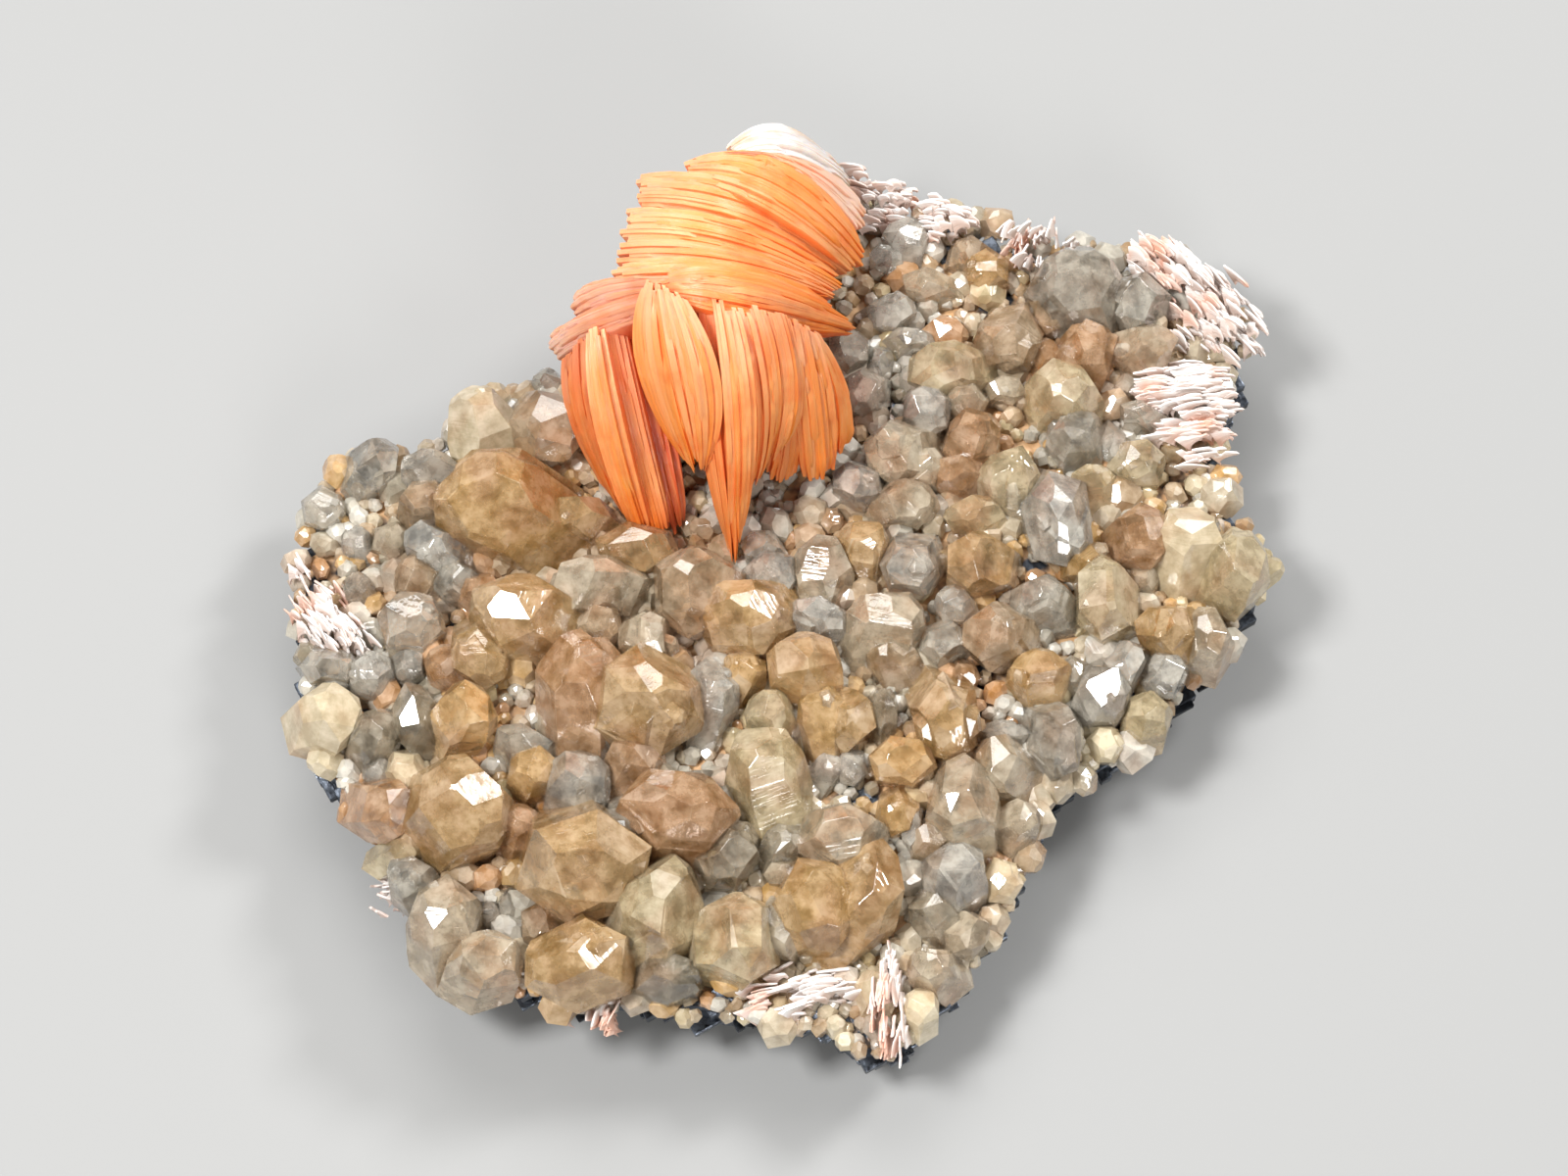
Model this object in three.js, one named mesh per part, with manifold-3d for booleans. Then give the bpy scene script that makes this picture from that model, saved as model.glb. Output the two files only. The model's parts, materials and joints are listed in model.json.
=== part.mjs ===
// A plate of galena covered with cerussite crystals, with fans of orange and pale barite.
// Millimetres, +Z up. The origin is the middle of the flat spot that the plate rests on.
import * as THREE from 'three';
import { ConvexGeometry } from 'three/addons/geometries/ConvexGeometry.js';
import { mergeVertices } from 'three/addons/utils/BufferGeometryUtils.js';
import Module from 'manifold-3d';

const wasm = await Module();
wasm.setup();

// How the reference picture looks at the plate
const MM_PER_PIXEL = 0.09;
const PICTURE_MIDDLE = { column: 800, row: 600 };
const PICTURE_ELEVATION = 65;
const PICTURE_DISTANCE = 400;
const PICTURE_AIM = new THREE.Vector3(0, 4, 10);

// The galena plate
const PLATE_CENTRE = new THREE.Vector2(-1.8, 0);
const PLATE_CROWN = 10.6;

// The picture shows the plate's edge at one height in front and at another behind, over the crystals
// there, and the height goes from one to the other between these rows
const FRONT_RIM = { level: 7, row: 860 };
const BACK_RIM = { level: 13, row: 310 };
const CLEAVAGE_STEP = 0.6;
const BREAK_SEED = 11;

// The flats of the plate's top: the way each falls, in degrees from +X, its slope, and how far from
// the origin it starts
const TOP_FLATS = [
  { heading: 8, slope: 0.1, from: 22 },
  { heading: 62, slope: 0.07, from: 24 },
  { heading: 118, slope: 0.1, from: 26 },
  { heading: 172, slope: 0.13, from: 27 },
  { heading: 222, slope: 0.12, from: 26 },
  { heading: 270, slope: 0.11, from: 22 },
  { heading: 322, slope: 0.17, from: 20 },
];

// The gap that pieces grown against each other keep, and the crust that carries the crystals
const SEAM = 0.3;
const CRUST_THICKNESS = 0.7;
const ABOVE_EVERYTHING = 60;
const BEYOND_RIM = 90;

// The crystals: how far each one's middle stands over the crust and how tall it is, as shares of its
// size, how much wider it is than the part of it that shows, and the sizes where its habit changes
const CRYSTAL_LIFT = 0.42;
const CRYSTAL_HEIGHT = 1.08;
const CROWDING = 1.1;
const MIDDLING_CRYSTAL = 7.4;
const LARGE_CRYSTAL = 9.2;
const LEAN = [10, 44];
const CRYSTAL_SEED = 4099;

// How far a crystal's faces tilt from its axis, and how far out they lie as shares of its half size
const TILTS = { top: 0, shoulder: 35.5, slope: 54.5, steep: 68, side: 90, foot: 180 };
const REACHES = { top: [0.8, 0.96], slope: [0.88, 0.96], side: [0.9, 0.98], shoulder: 0.93, foot: 1.3 };
const UNEVENNESS = 0.05;

// The barite blades
const LOWER_BLADE_THICKNESS = 1.5;
const UPPER_BLADE_THICKNESS = 1.9;
const BLADE_BULGE = 0.24;
const ROOT_SINK = 0.5;

// The plate's outline in the picture, as column and row, clockwise from the left
const OUTLINE = [
  [300, 600], [305, 560], [330, 505], [362, 462], [397, 458], [432, 462], [460, 448], [468, 412],
  [500, 402], [545, 402], [580, 392], [622, 345], [702, 272], [780, 215], [838, 188], [880, 186],
  [920, 208], [970, 222], [1033, 236], [1100, 252], [1175, 260], [1222, 284], [1266, 315], [1276, 358],
  [1248, 402], [1244, 450], [1250, 488], [1262, 525], [1294, 566], [1292, 602], [1262, 624], [1254, 662],
  [1205, 710], [1150, 772], [1090, 808], [1056, 860], [1032, 930], [1003, 975], [960, 1032],
  [916, 1082], [872, 1082], [840, 1054], [740, 1044], [660, 1034], [560, 1022], [472, 1006], [438, 968],
  [402, 882], [352, 828], [314, 765], [308, 700],
];

// Heights of the plate's rings below its top, from the middle of the flat spot out to the rim.
// reach is the share of the way to the rim, and loose is how far the broken edge rises and falls.
const UNDERSIDE = [
  { reach: 0, level: 0, loose: 0 },
  { reach: 0.56, level: 0, loose: 0 },
  { reach: 0.7, level: 2.2, loose: 1.4 },
  { reach: 0.88, level: 3.6, loose: 1.6 },
  { reach: 0.985, level: 5.2, loose: 1.2 },
];

// The larger crystals: column and row of the middle, then width and height, all in picture pixels
const CRYSTALS = [
  // Left
  [503, 512, 108, 95], [490, 430, 68, 68], [385, 475, 52, 52], [560, 440, 70, 70], [445, 560, 58, 58],
  [420, 637, 62, 62], [528, 628, 90, 75], [588, 530, 70, 42], [650, 562, 75, 45], [338, 732, 58, 64],
  [338, 682, 52, 44], [490, 672, 58, 58], [422, 732, 44, 62], [476, 732, 63, 63], [592, 692, 78, 90],
  [398, 828, 56, 56], [474, 822, 92, 95], [591, 800, 60, 60],
  // Front left
  [452, 940, 65, 75], [495, 983, 68, 58], [592, 985, 95, 80], [595, 885, 115, 95], [635, 865, 46, 85],
  // Middle
  [707, 604, 85, 80], [760, 632, 88, 70], [605, 600, 90, 60], [662, 655, 60, 60], [662, 714, 100, 100],
  [725, 708, 50, 62], [821, 682, 72, 65], [835, 632, 65, 46], [838, 580, 55, 55], [785, 735, 48, 65],
  [838, 730, 48, 60], [780, 785, 70, 78], [650, 775, 50, 50],
  // Front middle
  [690, 832, 105, 80], [742, 875, 60, 60], [672, 922, 82, 100], [752, 960, 88, 80], [797, 945, 48, 58],
  [832, 925, 75, 82], [888, 908, 62, 85], [858, 855, 85, 58], [680, 998, 70, 42],
  // Back right
  [1098, 294, 85, 80], [1028, 350, 62, 70], [1110, 358, 58, 58], [1085, 403, 74, 60], [965, 378, 72, 55],
  [945, 420, 50, 50], [1160, 312, 62, 62], [1170, 360, 70, 50], [1100, 445, 60, 52], [1160, 474, 58, 46],
  // Right
  [915, 465, 60, 60], [925, 515, 60, 46], [995, 445, 52, 52], [1030, 490, 60, 60], [1080, 530, 66, 92],
  [880, 558, 52, 52], [930, 578, 58, 66], [995, 576, 68, 62], [905, 635, 76, 55], [1015, 650, 60, 60],
  [1060, 615, 55, 55], [1165, 550, 60, 60], [1213, 552, 75, 60], [1262, 582, 60, 78], [1125, 612, 60, 78],
  [1190, 645, 58, 58], [1232, 652, 50, 62], [1125, 710, 50, 55], [1080, 757, 50, 68],
  // Front right
  [967, 740, 64, 76], [1060, 690, 58, 50], [920, 778, 62, 46], [982, 818, 68, 85], [868, 735, 46, 60],
  [973, 893, 60, 64], [985, 955, 46, 46],
];

// Blades of the two orange fans, each from the crest to its tip: column, row and height above the rest
const LOWER_BLADES = [
  { crest: [598, 348, 28], tip: [622, 495, 14] },
  { crest: [612, 328, 30], tip: [655, 545, 13] },
  { crest: [630, 318, 32], tip: [686, 565, 13] },
  { crest: [650, 308, 34], tip: [690, 540, 15] },
  { crest: [668, 300, 35], tip: [706, 485, 21] },
  { crest: [684, 300, 35.5], tip: [718, 480, 21] },
  { crest: [702, 305, 36], tip: [735, 520, 16] },
  { crest: [720, 310, 36], tip: [748, 575, 13] },
  { crest: [738, 312, 36], tip: [757, 560, 14] },
  { crest: [756, 316, 35.5], tip: [766, 520, 16] },
  { crest: [774, 320, 35], tip: [778, 500, 17] },
  { crest: [792, 325, 34.5], tip: [800, 498, 16] },
  { crest: [810, 332, 34], tip: [822, 498, 15] },
  { crest: [826, 338, 33], tip: [840, 500, 14] },
  { crest: [843, 348, 30], tip: [862, 470, 14] },
];
const LOWER_ROOT = { column: 735, row: 300, along: 0, draw: 0.3 };
const UPPER_BLADES = [
  { crest: [566, 347, 26], tip: [700, 292, 34] },
  { crest: [590, 312, 28], tip: [706, 282, 35] },
  { crest: [690, 284, 36], tip: [884, 333, 19] },
  { crest: [632, 276, 34], tip: [864, 316, 22] },
  { crest: [634, 262, 33.5], tip: [864, 306, 21.5] },
  { crest: [636, 248, 33], tip: [866, 296, 20] },
  { crest: [636, 232, 33], tip: [880, 277, 18] },
  { crest: [642, 216, 32], tip: [886, 268, 18] },
  { crest: [652, 198, 32], tip: [888, 260, 17] },
  { crest: [658, 182, 31], tip: [882, 250, 17] },
  { crest: [674, 176, 31], tip: [872, 240, 18] },
  { crest: [703, 170, 31], tip: [864, 228, 18] },
  { crest: [712, 160, 30], tip: [858, 215, 18] },
  { crest: [744, 152, 29], tip: [852, 202, 18] },
  { crest: [764, 143, 27], tip: [858, 188, 16] },
  { crest: [786, 133, 25], tip: [866, 178, 14] },
];
const UPPER_ROOT = { column: 742, row: 282, along: 0.35, draw: 0.2 };

// Pale barite: where each blade stands, its length and width in millimetres, and the way it points
// and leans, in degrees. seat is the low lump that the blades share.
const PALE_CLUSTERS = {
  barite_north_rim: {
    seat: { at: [912, 214, 11.5], half: [7.5, 1.9, 2.2], turn: -14 },
    blades: [
      { at: [862, 192, 13], length: 6, width: 5, heading: 10, lean: 60 },
      { at: [905, 206, 13], length: 5, width: 5, heading: 20, lean: 65 },
      { at: [950, 222, 13], length: 6, width: 4, heading: 5, lean: 60 },
      { at: [972, 232, 13], length: 5, width: 4, heading: -20, lean: 50 },
    ],
  },
  barite_north_blades: {
    seat: { at: [1060, 250, 11.5], half: [6, 1.6, 1.9], turn: -12 },
    blades: [
      { at: [1026, 242, 13.5], length: 4.5, width: 4, heading: 75, lean: 75 },
      { at: [1044, 246, 13.5], length: 4, width: 4, heading: 60, lean: 70 },
      { at: [1068, 250, 12.5], length: 5, width: 3.5, heading: 5, lean: 50 },
    ],
  },
  barite_east_bump: {
    seat: { at: [1232, 318, 10.5], half: [5.6, 4.6, 2.4], turn: -40 },
    blades: [
      { at: [1194, 278, 12.5], length: 7, width: 5, heading: -35, lean: 40 },
      { at: [1212, 292, 13], length: 8, width: 5, heading: -60, lean: 50 },
      { at: [1244, 312, 13], length: 7, width: 5, heading: -70, lean: 50 },
      { at: [1258, 328, 12], length: 7, width: 5, heading: -55, lean: 40 },
    ],
  },
  barite_east_stack: {
    seat: { at: [1216, 420, 11.5], half: [3.2, 5.2, 2.6], turn: 0 },
    blades: [
      { at: [1212, 386, 12.5], length: 7, width: 3, heading: 5, lean: 20 },
      { at: [1214, 402, 12.5], length: 7.5, width: 3, heading: -6, lean: 22 },
      { at: [1218, 450, 12], length: 6.5, width: 3, heading: 8, lean: 20 },
    ],
  },
  barite_south_tip: {
    seat: { at: [911, 1034, 9], half: [2.4, 4.2, 2], turn: 0 },
    blades: [
      { at: [902, 1002, 11.5], length: 5, width: 4, heading: 80, lean: 65 },
      { at: [910, 1018, 11.5], length: 6, width: 4, heading: 95, lean: 60 },
      { at: [904, 1034, 11], length: 6, width: 4, heading: 75, lean: 65 },
      { at: [914, 1046, 10.5], length: 6, width: 4, heading: 100, lean: 60 },
    ],
  },
  barite_south_blades: {
    seat: { at: [820, 1020, 9], half: [5, 2.2, 1.8], turn: -8 },
    blades: [
      { at: [794, 1008, 11], length: 6, width: 3, heading: 20, lean: 40 },
      { at: [814, 1020, 11], length: 7, width: 3, heading: 5, lean: 35 },
      { at: [850, 1030, 10.5], length: 7, width: 4, heading: 15, lean: 40 },
      { at: [850, 1008, 11], length: 4.5, width: 3, heading: 30, lean: 50 },
    ],
  },
  barite_southwest_blades: {
    seat: { at: [612, 1018, 8.5], half: [4, 1.4, 1.4], turn: 0 },
    blades: [
      { at: [594, 1012, 10], length: 5, width: 3, heading: 60, lean: 55 },
      { at: [618, 1014, 10], length: 5, width: 3, heading: 75, lean: 55 },
      { at: [634, 1018, 10], length: 4.5, width: 3, heading: 50, lean: 50 },
    ],
  },
  barite_west_patch: {
    seat: { at: [336, 632, 9.5], half: [3.6, 3.4, 2.2], turn: -30 },
    blades: [
      { at: [322, 606, 11.5], length: 6, width: 3.5, heading: -65, lean: 45 },
      { at: [334, 640, 12], length: 7, width: 3.5, heading: -30, lean: 45 },
      { at: [356, 652, 12], length: 6, width: 3.5, heading: -15, lean: 40 },
    ],
  },
  barite_southwest_spikes: {
    seat: { at: [402, 902, 7], half: [1.6, 2.4, 1.6], turn: 20 },
    blades: [
      { at: [396, 890, 8], length: 4.5, width: 3, heading: 150, lean: 45 },
      { at: [403, 918, 7], length: 4, width: 3, heading: 200, lean: 45 },
    ],
  },
};
const SIDE_CLUSTER = 'barite_southwest_spikes';
const PALE_BLADE_THICKNESS = 1.1;
const SEAT_FULLNESS = 1.1;

// The colours of the four minerals' finishes
const FINISHES = {
  galena: { color: 0x3c4148, roughness: 0.35, metalness: 0.85 },
  cerussite: { color: 0xb59a6a, roughness: 0.12, metalness: 0 },
  orange_barite: { color: 0xf58c46, roughness: 0.45, metalness: 0 },
  pale_barite: { color: 0xf0dcd2, roughness: 0.5, metalness: 0 },
};

const radians = THREE.MathUtils.degToRad;

// The value that lies a share of the way from the first of a pair to the second.
function between([first, second], share) {
  return first + (second - first) * share;
}

// Returns a function that draws numbers from 0 to 1, the same ones for the same seed.
function seeded(seed) {
  let state = seed >>> 0;
  return () => {
    state = (state + 0x6d2b79f5) >>> 0;
    let mixed = Math.imul(state ^ (state >>> 15), state | 1);
    mixed ^= mixed + Math.imul(mixed ^ (mixed >>> 7), mixed | 61);
    return ((mixed ^ (mixed >>> 14)) >>> 0) / 4294967296;
  };
}

// The point at a height above the rest that the picture shows at a column and row.
function fromPicture(column, row, height) {
  const elevation = radians(PICTURE_ELEVATION);
  const back = new THREE.Vector3(0, -Math.cos(elevation), Math.sin(elevation));
  const up = new THREE.Vector3(0, Math.sin(elevation), Math.cos(elevation));
  const eye = PICTURE_AIM.clone().addScaledVector(back, PICTURE_DISTANCE);
  const seen = PICTURE_AIM.clone().addScaledVector(up, (PICTURE_MIDDLE.row - row) * MM_PER_PIXEL);
  seen.x += (column - PICTURE_MIDDLE.column) * MM_PER_PIXEL;
  const sight = seen.sub(eye);
  return eye.addScaledVector(sight, (height - eye.z) / sight.z);
}

// How high the galena's top is over a point of the plan.
function plateTop(x, y) {
  const levels = TOP_FLATS.map(({ heading, slope, from }) => {
    const angle = radians(heading);
    return PLATE_CROWN - slope * (x * Math.cos(angle) + y * Math.sin(angle) - from);
  });
  return Math.min(PLATE_CROWN, ...levels);
}

// A closed geometry as a solid that can be joined and cut.
function solid(geometry) {
  geometry.deleteAttribute('normal');
  geometry.deleteAttribute('uv');
  const merged = mergeVertices(geometry, 1e-5);
  const index = merged.index.array;
  const corners = [];
  for (let i = 0; i < index.length; i += 3) {
    const [a, b, c] = index.subarray(i, i + 3);
    if (a !== b && b !== c && c !== a) {
      corners.push(a, b, c);
    }
  }
  return new wasm.Manifold(new wasm.Mesh({
    numProp: 3,
    vertProperties: new Float32Array(merged.attributes.position.array),
    triVerts: new Uint32Array(corners),
  }));
}

// Several solids joined.
function joined(solids) {
  return solids.reduce((whole, piece) => whole.add(piece));
}

// The largest of the bodies that a cut leaves.
function largest(whole) {
  return whole.decompose().sort((a, b) => b.volume() - a.volume())[0];
}

// The rim of the plate in plan, counterclockwise, from its centre.
function plateRim() {
  return OUTLINE.map(([column, row]) => {
    const toBack = THREE.MathUtils.smoothstep(-row, -FRONT_RIM.row, -BACK_RIM.row);
    const level = between([FRONT_RIM.level, BACK_RIM.level], toBack);
    const point = fromPicture(column, row, level);
    return new THREE.Vector2(point.x, point.y).sub(PLATE_CENTRE);
  }).reverse();
}

// The galena plate with its broken sides, its flat rest and the top that dome gives.
function galenaPlate() {
  const draw = seeded(BREAK_SEED);
  const rim = plateRim();
  const breaks = rim.map(() => UNDERSIDE.map(() => draw() * 2 - 1));
  const rings = [...UNDERSIDE, { reach: 1, level: ABOVE_EVERYTHING, loose: 0 }, { reach: 0 }];
  const profile = rings.map((ring, i) => new THREE.Vector2(ring.reach, i));
  const geometry = new THREE.LatheGeometry(profile, rim.length);
  const position = geometry.attributes.position;
  for (let i = 0; i < position.count; i += 1) {
    const turn = Math.floor(i / rings.length) % rim.length;
    const place = i % rings.length;
    const { reach, level = ABOVE_EVERYTHING, loose = 0 } = rings[place];
    const broken = loose === 0 ? level : level + loose * breaks[turn][place];
    const z = Math.round(broken / CLEAVAGE_STEP) * CLEAVAGE_STEP;
    position.setXYZ(i, PLATE_CENTRE.x + rim[turn].x * reach, PLATE_CENTRE.y + rim[turn].y * reach, z);
  }
  return solid(geometry).intersect(dome(0));
}

// The convex body under the flats of the plate's top, raised by a height. It is wider than the plate.
function dome(raised) {
  const faces = [new THREE.Plane(new THREE.Vector3(0, 0, 1), -PLATE_CROWN - raised)];
  faces.push(new THREE.Plane(new THREE.Vector3(0, 0, -1), -ABOVE_EVERYTHING));
  TOP_FLATS.forEach(({ heading, slope, from }) => {
    const angle = radians(heading);
    const outward = new THREE.Vector3(Math.cos(angle), Math.sin(angle), 0);
    const steep = Math.hypot(slope, 1);
    const normal = outward.clone().multiplyScalar(slope).setZ(1).divideScalar(steep);
    faces.push(new THREE.Plane(normal, -(PLATE_CROWN + raised + slope * from) / steep));
    faces.push(new THREE.Plane(outward, -BEYOND_RIM));
  });
  return solid(new ConvexGeometry(cornersInside(faces)));
}

// The thin crust that joins the crystals, between the galena and its own top.
function crust() {
  const outline = plateRim().map(({ x, y }) => new THREE.Vector2(x, y).add(PLATE_CENTRE));
  const geometry = new THREE.ExtrudeGeometry(new THREE.Shape(outline), {
    depth: ABOVE_EVERYTHING,
    bevelEnabled: false,
  });
  return solid(geometry).intersect(dome(SEAM + CRUST_THICKNESS));
}

// The outward faces of a cerussite crystal: a near six-sided twin with a flat top and a ring of
// sloping faces. A middling one has an upright prism below them, and a large one is less regular,
// with a second ring of slopes.
function crystalFaces(draw, size) {
  const small = size < MIDDLING_CRYSTAL;
  const large = size > LARGE_CRYSTAL;
  const top = between(REACHES.top, draw());
  const slope = between(REACHES.slope, draw());
  const side = between(REACHES.side, draw());
  const faces = [
    { tilt: TILTS.top, turn: 0, far: top },
    { tilt: TILTS.foot, turn: 0, far: REACHES.foot },
  ];
  for (let turn = 0; turn < 360; turn += 60) {
    const uneven = large ? UNEVENNESS * draw() : 0;
    faces.push({ tilt: small ? TILTS.steep : TILTS.slope, turn, far: slope + uneven });
    if (!small) {
      faces.push({ tilt: TILTS.side, turn, far: side + uneven });
    }
    if (large) {
      faces.push({ tilt: TILTS.shoulder, turn: turn + 30, far: REACHES.shoulder + uneven });
    }
  }
  return faces.map(({ tilt, turn, far }) => {
    const axis = new THREE.Euler(0, radians(tilt), radians(turn), 'ZYX');
    return new THREE.Plane(new THREE.Vector3(0, 0, 1).applyEuler(axis), -far);
  });
}

// The corners of the convex body inside all of the faces.
function cornersInside(faces) {
  const corners = [];
  const slack = 1e-6;
  const matrix = new THREE.Matrix3();
  for (let i = 0; i < faces.length; i += 1) {
    for (let j = i + 1; j < faces.length; j += 1) {
      for (let k = j + 1; k < faces.length; k += 1) {
        const [a, b, c] = [faces[i], faces[j], faces[k]];
        matrix.set(...a.normal, ...b.normal, ...c.normal);
        if (Math.abs(matrix.determinant()) > slack) {
          const distances = new THREE.Vector3(-a.constant, -b.constant, -c.constant);
          const corner = distances.applyMatrix3(matrix.invert());
          if (faces.every((face) => face.distanceToPoint(corner) < slack)) {
            corners.push(corner);
          }
        }
      }
    }
  }
  return corners;
}

// One cerussite crystal where the picture shows it, leaning and turned its own way.
function crystal([column, row, wide, high]) {
  const draw = seeded(column * CRYSTAL_SEED + row);
  const scale = CROWDING * MM_PER_PIXEL;
  const size = Math.sqrt(wide * high) * scale;
  const faces = crystalFaces(draw, size);
  const lean = radians(between(LEAN, draw()));
  const heading = radians(360 * draw());
  const turn = radians(60 * draw());
  const below = fromPicture(column, row, PLATE_CROWN);
  const level = plateTop(below.x, below.y) + SEAM + CRYSTAL_LIFT * size;
  const middle = fromPicture(column, row, level);
  const axis = new THREE.Vector3(Math.cos(heading), Math.sin(heading), 0);
  const place = new THREE.Matrix4().makeTranslation(middle);
  place.scale(new THREE.Vector3(wide * scale, high * scale, size * CRYSTAL_HEIGHT).multiplyScalar(0.5));
  place.multiply(new THREE.Matrix4().makeRotationAxis(axis, lean));
  place.multiply(new THREE.Matrix4().makeRotationZ(turn));
  const geometry = new ConvexGeometry(cornersInside(faces));
  return solid(geometry.applyMatrix4(place));
}

// The crystals that cover the plate, joined by their crust.
function cerussiteDruse() {
  return joined([crust(), ...CRYSTALS.map(crystal)]).subtract(dome(SEAM));
}

// A flat blade whose outer edge bows from its crest to its tip, with its root inside the fan.
// grow makes it larger all round, for the room that it needs in its neighbours.
function fanBlade(crest, tip, root, thickness, grow) {
  const along = tip.clone().sub(crest);
  const length = along.length();
  along.normalize();
  const inward = root.clone().sub(crest);
  const rootAlong = inward.dot(along);
  inward.addScaledVector(along, -rootAlong);
  const depth = inward.length();
  inward.normalize();
  const bow = length * BLADE_BULGE;
  const outline = [
    [0, 0], [0.16 * length, -0.62 * bow], [0.45 * length, -bow], [0.75 * length, -0.7 * bow],
    [length, 0], [0.9 * length, 0.22 * depth], [rootAlong + 0.15 * length, depth], [rootAlong, depth],
  ].map(([x, y]) => new THREE.Vector2(x, y));
  const middle = new THREE.Vector2(0.45 * length, 0.2 * depth);
  outline.forEach((point) => {
    const out = point.clone().sub(middle);
    point.addScaledVector(out.normalize(), 1.5 * grow);
  });
  const side = new THREE.Vector3().crossVectors(along, inward);
  const full = thickness + 2 * grow;
  const geometry = new THREE.ExtrudeGeometry(new THREE.Shape(outline), {
    depth: full,
    bevelEnabled: false,
  });
  geometry.translate(0, 0, -full / 2);
  geometry.applyMatrix4(new THREE.Matrix4().makeBasis(along, inward, side).setPosition(crest));
  return solid(geometry);
}

// A fan of blades that share a root on the plate. A blade's own root is along it by the root's
// along, and is drawn towards the shared one by its draw.
function fan(blades, shared, thickness, grow) {
  const middle = fromPicture(shared.column, shared.row, PLATE_CROWN);
  return joined(blades.map((blade) => {
    const crest = fromPicture(...blade.crest);
    const tip = fromPicture(...blade.tip);
    const root = crest.clone().lerp(tip, shared.along).lerp(middle, shared.draw);
    root.z = plateTop(root.x, root.y) - ROOT_SINK;
    return fanBlade(crest, tip, root, thickness, grow);
  }));
}

// A short pale blade: a flat five-sided tablet that lies and leans on its seat.
function paleBlade({ at, length, width, heading, lean }, grow) {
  const outline = new THREE.Shape([
    new THREE.Vector2(-0.5, -0.3), new THREE.Vector2(0.4, -0.5), new THREE.Vector2(0.5, 0.1),
    new THREE.Vector2(0.1, 0.5), new THREE.Vector2(-0.46, 0.3),
  ]);
  const geometry = new THREE.ExtrudeGeometry(outline, { depth: 1, bevelEnabled: false });
  geometry.translate(0, 0, -0.5);
  geometry.scale(length + 2 * grow, width + 2 * grow, PALE_BLADE_THICKNESS + 2 * grow);
  geometry.rotateX(radians(lean));
  geometry.rotateZ(radians(heading));
  geometry.translate(...fromPicture(...at));
  return solid(geometry);
}

// The low lump that a pale cluster's blades grow from.
function paleSeat({ at, half, turn }, grow) {
  const geometry = new THREE.OctahedronGeometry(SEAT_FULLNESS, 0);
  geometry.scale(...half.map((size) => size + grow));
  geometry.rotateZ(radians(turn));
  geometry.translate(...fromPicture(...at));
  return solid(geometry);
}

// A cluster of pale blades on its seat.
function paleCluster({ seat, blades }, grow) {
  return joined([paleSeat(seat, grow), ...blades.map((blade) => paleBlade(blade, grow))]);
}

// The convex room that a solid needs in what it grew through.
function hull(whole) {
  const { vertProperties } = whole.getMesh();
  const corners = [];
  for (let i = 0; i < vertProperties.length; i += 3) {
    corners.push(new THREE.Vector3().fromArray(vertProperties, i));
  }
  return solid(new ConvexGeometry(corners));
}

// Every barite mass of the plate, larger all round by grow.
function bariteMasses(grow) {
  const upper = fan(UPPER_BLADES, UPPER_ROOT, UPPER_BLADE_THICKNESS, grow);
  const lower = fan(LOWER_BLADES, LOWER_ROOT, LOWER_BLADE_THICKNESS, grow);
  const masses = { barite_fan_upper: upper, barite_fan_lower: lower };
  Object.entries(PALE_CLUSTERS).forEach(([name, cluster]) => {
    masses[name] = paleCluster(cluster, grow);
  });
  return masses;
}

// A solid as a named mesh with its mineral's finish.
function mesh(name, whole, finish) {
  const { vertProperties, triVerts } = largest(whole).getMesh();
  const geometry = new THREE.BufferGeometry();
  geometry.setAttribute('position', new THREE.BufferAttribute(vertProperties, 3));
  geometry.setIndex(new THREE.BufferAttribute(triVerts, 1));
  geometry.computeVertexNormals();
  const made = new THREE.Mesh(geometry, new THREE.MeshStandardMaterial(FINISHES[finish]));
  made.name = name;
  return made;
}

// The whole specimen. The crystals give way to the barite, and each barite mass to the upper fan.
// All stand on the plate's top but the side cluster, which has its own pocket in the plate.
const masses = bariteMasses(0);
const room = bariteMasses(SEAM);
const allRoom = joined(Object.values(room).map(hull));
const plate = galenaPlate().subtract(hull(room[SIDE_CLUSTER]));
const specimen = new THREE.Group();
specimen.add(mesh('galena_matrix', plate, 'galena'));
specimen.add(mesh('cerussite_druse', cerussiteDruse().subtract(allRoom), 'cerussite'));
Object.entries(masses).forEach(([name, mass]) => {
  const isUpperFan = name === 'barite_fan_upper';
  const clear = isUpperFan ? mass : mass.subtract(room.barite_fan_upper);
  const finish = name in PALE_CLUSTERS ? 'pale_barite' : 'orange_barite';
  const seated = name === SIDE_CLUSTER ? clear : clear.subtract(dome(SEAM));
  specimen.add(mesh(name, seated, finish));
});

export default specimen;
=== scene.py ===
"""The looks of a cerussite specimen: clear and cloudy crystals on dark galena, with fans of orange
barite and thickets of pale barite. Sizes are millimetres until a mesh is finished. That is in metres."""
import itertools
import json
import logging
import math
from dataclasses import dataclass, field
from enum import Enum
from functools import lru_cache

import bmesh
import bpy
import numpy as np
from mathutils import Euler, Matrix, Vector

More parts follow.
